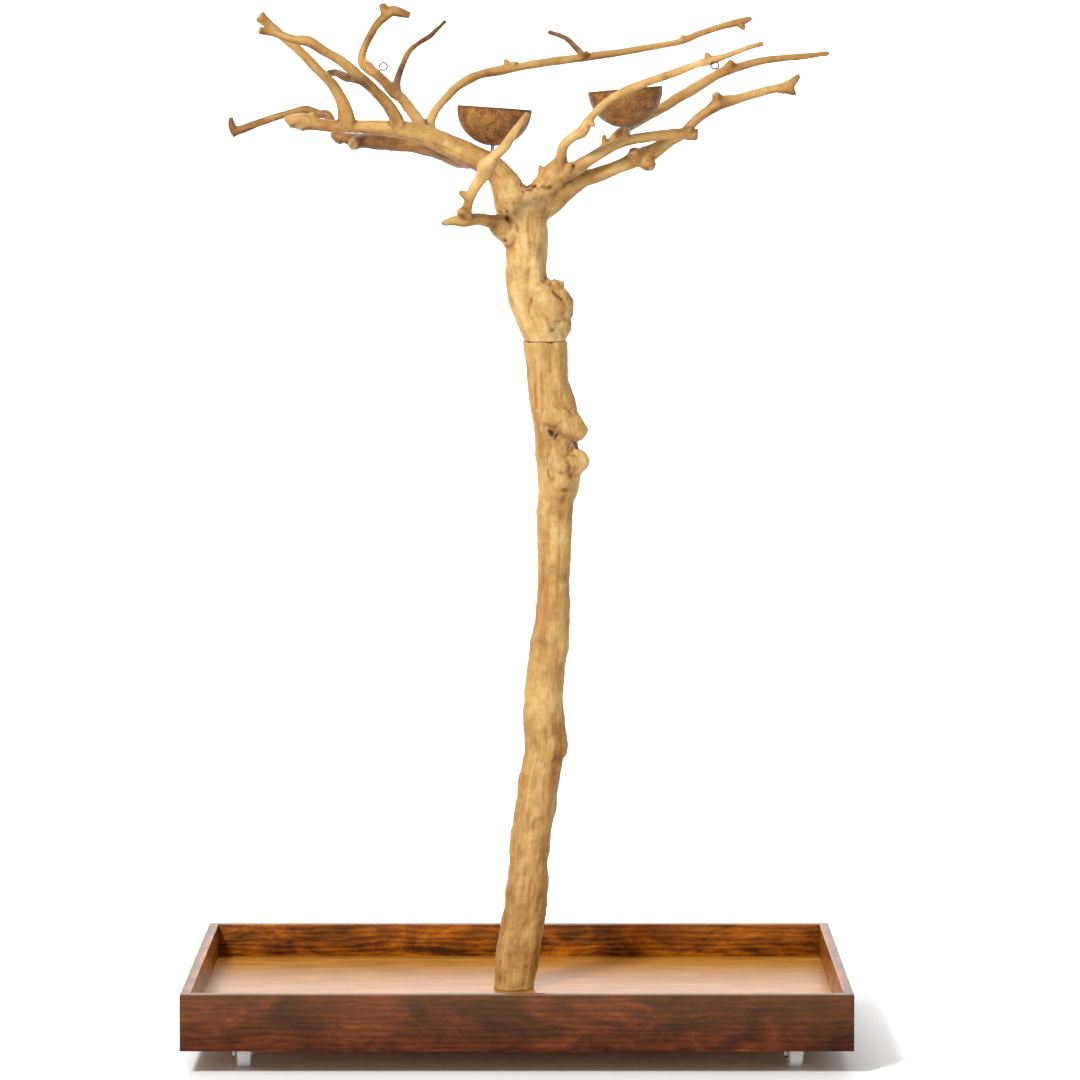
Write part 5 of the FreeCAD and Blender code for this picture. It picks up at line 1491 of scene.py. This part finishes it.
def lacquered_floor():
    """Amber board under thick clear lacquer, which at a low angle mirrors the white room."""
    floor_board = Finish("lacquered_floor")
    bands, lines, cloud = figured(floor_board, "x", 5.0)
    tone = floor_board.blended(0.43, ((bands, 0.25), (lines, 0.55), (cloud, 0.60)))
    colour = floor_board.ramp(
        tone,
        [
            (0.20, (0.32, 0.118, 0.012)),
            (0.50, (0.47, 0.210, 0.028)),
            (0.80, (0.58, 0.300, 0.060)),
        ],
    )
    floor_board.shade(
        Base_Color=colour,
        Roughness=floor_board.math("MULTIPLY_ADD", cloud, 0.20, 0.25),
        Normal=floor_board.bump(lines, 0.0002, 0.15),
    )
    floor_board.shader.inputs["Specular IOR Level"].default_value = 0.25
    floor_board.shader.inputs["Coat Weight"].default_value = 0.27
    floor_board.shader.inputs["Coat Roughness"].default_value = 0.27
    floor_board.shader.inputs["Coat IOR"].default_value = 1.55
    return floor_board.material


def bare_board():
    """Unstained softwood for the block that nobody sees: pale, dry and rough."""
    board = Finish("bare_board")
    bands, lines, cloud = figured(board, "x", 2.5)
    tone = board.blended(0.5, ((bands, 0.45), (lines, 0.55)))
    colour = board.ramp(
        tone,
        [
            (0.25, (0.33, 0.19, 0.09)),
            (0.50, (0.48, 0.32, 0.17)),
            (0.80, (0.58, 0.43, 0.26)),
        ],
    )
    board.shade(
        Base_Color=colour,
        Roughness=board.math("MULTIPLY_ADD", cloud, 0.15, 0.62),
        Normal=board.bump(lines, 0.0005, 0.4),
    )
    return board.material


RAIL_WOOD = {"x": stained_rail("x"), "y": stained_rail("y")}
FLOOR_WOOD = lacquered_floor()
BARE_BOARD = bare_board()

# %% [markdown]
# ## Rails
#
# A rail is one outline carried along its length: a board with a groove for the floor and eased
# edges. Its ends are mitred, so each point of the outline travels a different distance: the
# outer face runs the full length and the inner face stops one thickness short at each end.

# %% Rails
GROOVE_DEPTH = 7 * MM
WEAR_WIDTH = 2.5 * MM
RAIL_EASING = np.array([1.2, 1.2, 0.3, 0.0, 0.0, 0.3, 1.6, 1.6]) * MM


def mitred_rail(name, long_axis, stations=24):
    """Point = (t (L/2 - d), d, height) for t from -1 to 1, with d the distance in from the face.

    Each point of the outline also gets marks: how far inside the tray, where the faces get painted
    light, and how near a top edge.
    """
    low, high = (np.array(corner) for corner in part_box(name))
    size = high - low
    length, thick = (size[0], size[1]) if long_axis == "x" else (size[1], size[0])
    tall = size[2]
    panel_low, panel_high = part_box("tray_floor_panel")
    groove_low, groove_high = panel_low[2] - low[2], panel_high[2] - low[2]
    deep = thick - GROOVE_DEPTH
    corners = [(0, 0), (thick, 0), (thick, groove_low), (deep, groove_low), (deep, groove_high),
               (thick, groove_high), (thick, tall), (0, tall)]
    outline = held_flat(eased(corners, RAIL_EASING, 5))
    inward, up = outline.T
    t = np.linspace(-1, 1, stations)[:, None]
    grid = np.stack(np.broadcast_arrays(t * (length / 2 - inward), inward, up), -1)
    inside = np.clip((inward - 0.3 * thick) / (0.7 * thick), 0, 1)
    from_edge = np.minimum(np.abs(inward), np.abs(thick - inward)) + np.abs(tall - up)
    worn = np.clip(1 - from_edge / WEAR_WIDTH, 0, 1)
    marks = {"inner": np.tile(inside, stations), "wear": np.tile(worn, stations)}
    return grid, low, marks


RAIL_TURNS = {"tray_front_rail": 0, "tray_right_rail": 90, "tray_back_rail": 180, "tray_left_rail": 270}
for rail_name, turn in RAIL_TURNS.items():
    long_axis = "x" if turn % 180 == 0 else "y"
    grid, low, marks = mitred_rail(rail_name, long_axis)
    points, quads, fans = capped(grid)
    reach = CAD_BOX[1][1] if long_axis == "x" else CAD_BOX[1][0]
    points = points + np.array([0, -reach, low[2]])
    points = turn_and_move(points, about("z", turn), (0, 0, 0))
    rail_mesh = mesh_of(rail_name + "_board", [(points, quads, fans)])
    for mark, row in marks.items():
        # The middle points of the two end caps take the mean of the others.
        ends = len(points) - len(row)
        carry(rail_mesh, mark, np.pad(row, (0, ends), constant_values=row.mean()))
    rail_wood = RAIL_WOOD[long_axis]
    piece(rail_name + "_board", rail_mesh, rail_wood, "stand", [rail_name])
    rail_mesh.set_sharp_from_angle(angle=math.radians(50))

# %% [markdown]
# ## Plain hardware
#
# The floor panel, the block and the fasteners under the floor have the right shape already.
# They keep their CAD meshes and get their finishes here.

# %% Finishes for carried-over nodes
def finish_node(name, material):
    """Give a CAD node's own mesh a finish, and leave its shape alone."""
    mesh = nodes[name].data
    mesh.materials.clear()
    mesh.materials.append(material)


finish_node("tray_floor_panel", FLOOR_WOOD)
finish_node("mounting_block", BARE_BOARD)
for name in ("block_screws", "caster_screws", "trunk_washer", "trunk_bolt", "crown_stud"):
    finish_node(name, BRIGHT_STEEL)
CORNERS = ("front_left", "front_right", "back_left", "back_right")
for corner in CORNERS:
    for part in ("caster_plate", "kingpin", "axle"):
        finish_node("%s_%s" % (corner, part), ZINC)

# %% [markdown]
# ## Casters
#
# A wheel is turned from one outline with a hub, a dished web and a rounded tread, and a fine
# mould line runs round it. A fork is one strip of steel, bent down at both sides of the wheel:
# the strip's surface is worked out from the distance across the bend and the place along the
# cheek, and then given its thickness. The ball race on top is turned.

# %% Wheels
YAW = 7
WHEEL_RADIUS = 20 * MM
WHEEL_HALF = 9 * MM


def wheel_grid():
    """A closed outline of (distance from the axle, place along it), turned about the axle."""
    bore, hub, rim = 3.1 * MM, 8 * MM, 15 * MM
    dish = 2.5 * MM
    web = WHEEL_HALF - dish
    half = [
        (bore, WHEEL_HALF), (hub, WHEEL_HALF), (hub + dish / 2, web), (rim - dish / 2, web),
        (rim, WHEEL_HALF), (WHEEL_RADIUS - 1.2 * MM, WHEEL_HALF),
        (WHEEL_RADIUS, WHEEL_HALF - 2.2 * MM), (WHEEL_RADIUS, 0.5 * MM),
    ]
    other = [(r, -h) for r, h in reversed(half)]
    easing = np.array([0.4, 0.5, 0.6, 0.6, 0.5, 1.0, 1.6, 0.0]) * MM
    outline = held_flat(eased(half + other, np.concatenate([easing, easing[::-1]]), 4))
    on_tread = outline[:, 0] > WHEEL_RADIUS - 1 * MM
    outline[:, 0] -= 0.12 * MM * np.exp(-((outline[:, 1] / (0.4 * MM)) ** 2)) * on_tread
    return turned(np.concatenate([outline, outline[:1]]), 72)


for corner in CORNERS:
    points, quads, fans = capped(wheel_grid(), caps=(False, False))
    onto_axle = about("z", YAW) @ about("y", 90)
    points = turn_and_move(points, onto_axle, box_middle(corner + "_wheel"))
    name = corner + "_nylon_wheel"
    wheel_mesh = mesh_of(name, [(points, quads, fans)])
    piece(name, wheel_mesh, NYLON, corner + "_roller", [corner + "_wheel"])


# %% Forks
FORK_TOP = 44.7 * MM
FORK_STEEL = 2 * MM
FORK_HALF = 11.6 * MM
BEND = 3.5 * MM
TRAIL = 18 * MM
LUG = 7.5 * MM
CROWN_HALF = 16.5 * MM
SKIRT = 6 * MM


def cheek_edges(z):
    """Front and back edge of a cheek at a height: straight flanks that run into a round lug."""
    axle = WHEEL_RADIUS
    round_half = np.sqrt(np.maximum(LUG**2 - (axle - z) ** 2, 0))
    front_line = np.interp(z, [axle, FORK_TOP], [-TRAIL - LUG, -CROWN_HALF])
    front = np.where(z >= axle, front_line, -TRAIL - round_half)
    corner = LUG * math.cos(math.pi / 4)
    back_line = np.interp(z, [axle - corner, FORK_TOP - SKIRT], [-TRAIL + corner, CROWN_HALF])
    back = np.where(z >= axle - corner, back_line, -TRAIL + round_half)
    return front, back


def fork_grid():
    """Point = (across, front + (back - front) t, height).

    The strip runs up one cheek, over the top through two bends, and down the other cheek.
    """
    lowest = WHEEL_RADIUS - LUG
    cheek = lowest + (FORK_TOP - BEND - lowest) * np.sin(np.linspace(0, np.pi / 2, 26))
    arc = np.linspace(0, np.pi / 2, 7)[1:]
    across = np.concatenate([np.full(len(cheek), FORK_HALF), FORK_HALF - BEND + BEND * np.cos(arc)])
    height = np.concatenate([cheek, FORK_TOP - BEND + BEND * np.sin(arc)])
    flat = np.linspace(FORK_HALF - BEND, 0, 6)[1:]
    across = np.concatenate([across, flat])
    height = np.concatenate([height, np.full(len(flat), FORK_TOP)])
    across = np.concatenate([across, -across[-2::-1]])
    height = np.concatenate([height, height[-2::-1]])
    front, back = cheek_edges(height)
    t = np.linspace(0, 1, 18)[None]
    y = front[:, None] + (back - front)[:, None] * t
    return np.stack([across[:, None] + 0 * t, y, height[:, None] + 0 * t], -1)


def race_outline():
    """The pressed race on the fork's crown: a low drum with a rolled edge."""
    low, high, radius = FORK_TOP - 0.1 * MM, FORK_TOP + 5 * MM, 15.5 * MM
    bore = 4.1 * MM
    corners = [(bore, high), (radius - 3 * MM, high), (radius, high - 2 * MM),
               (radius, low + 1 * MM), (radius - 1.5 * MM, low), (bore, low)]
    outline = held_flat(eased(corners, np.array([0.2, 1.5, 1.4, 0.8, 0.6, 0.2]) * MM, 4))
    return np.concatenate([outline, outline[:1]])


def bent_fork(corner, place):
    """The strip, thickened inwards and with its sharp edges eased."""
    points, quads, fans = capped(fork_grid(), around=False, caps=(False, False))
    points = turn_and_move(points, about("z", YAW), place)
    name = corner + "_bent_fork"
    mesh = mesh_of(name, [(points, quads, fans)])
    fork = piece(name, mesh, ZINC, corner + "_swivel", [corner + "_fork"])
    inward = fork.modifiers.new("steel", "SOLIDIFY")
    inward.thickness = FORK_STEEL
    inward.offset = -1.0
    worn = fork.modifiers.new("eased_edges", "BEVEL")
    worn.width = 0.35 * MM
    worn.segments = 2
    worn.limit_method = "ANGLE"
    worn.angle_limit = math.radians(50)


def ball_race(corner, place):
    """The race's outline, turned about the kingpin."""
    points, quads, fans = capped(turned(race_outline(), 64), caps=(False, False))
    points = turn_and_move(points, about("z", YAW), place)
    name = corner + "_ball_race"
    mesh = mesh_of(name, [(points, quads, fans)])
    piece(name, mesh, ZINC, corner + "_swivel", [corner + "_fork"])


for corner in CORNERS:
    pin_x, pin_y, _ = box_middle(corner + "_kingpin")
    bent_fork(corner, (pin_x, pin_y, 0))
    ball_race(corner, (pin_x, pin_y, 0))
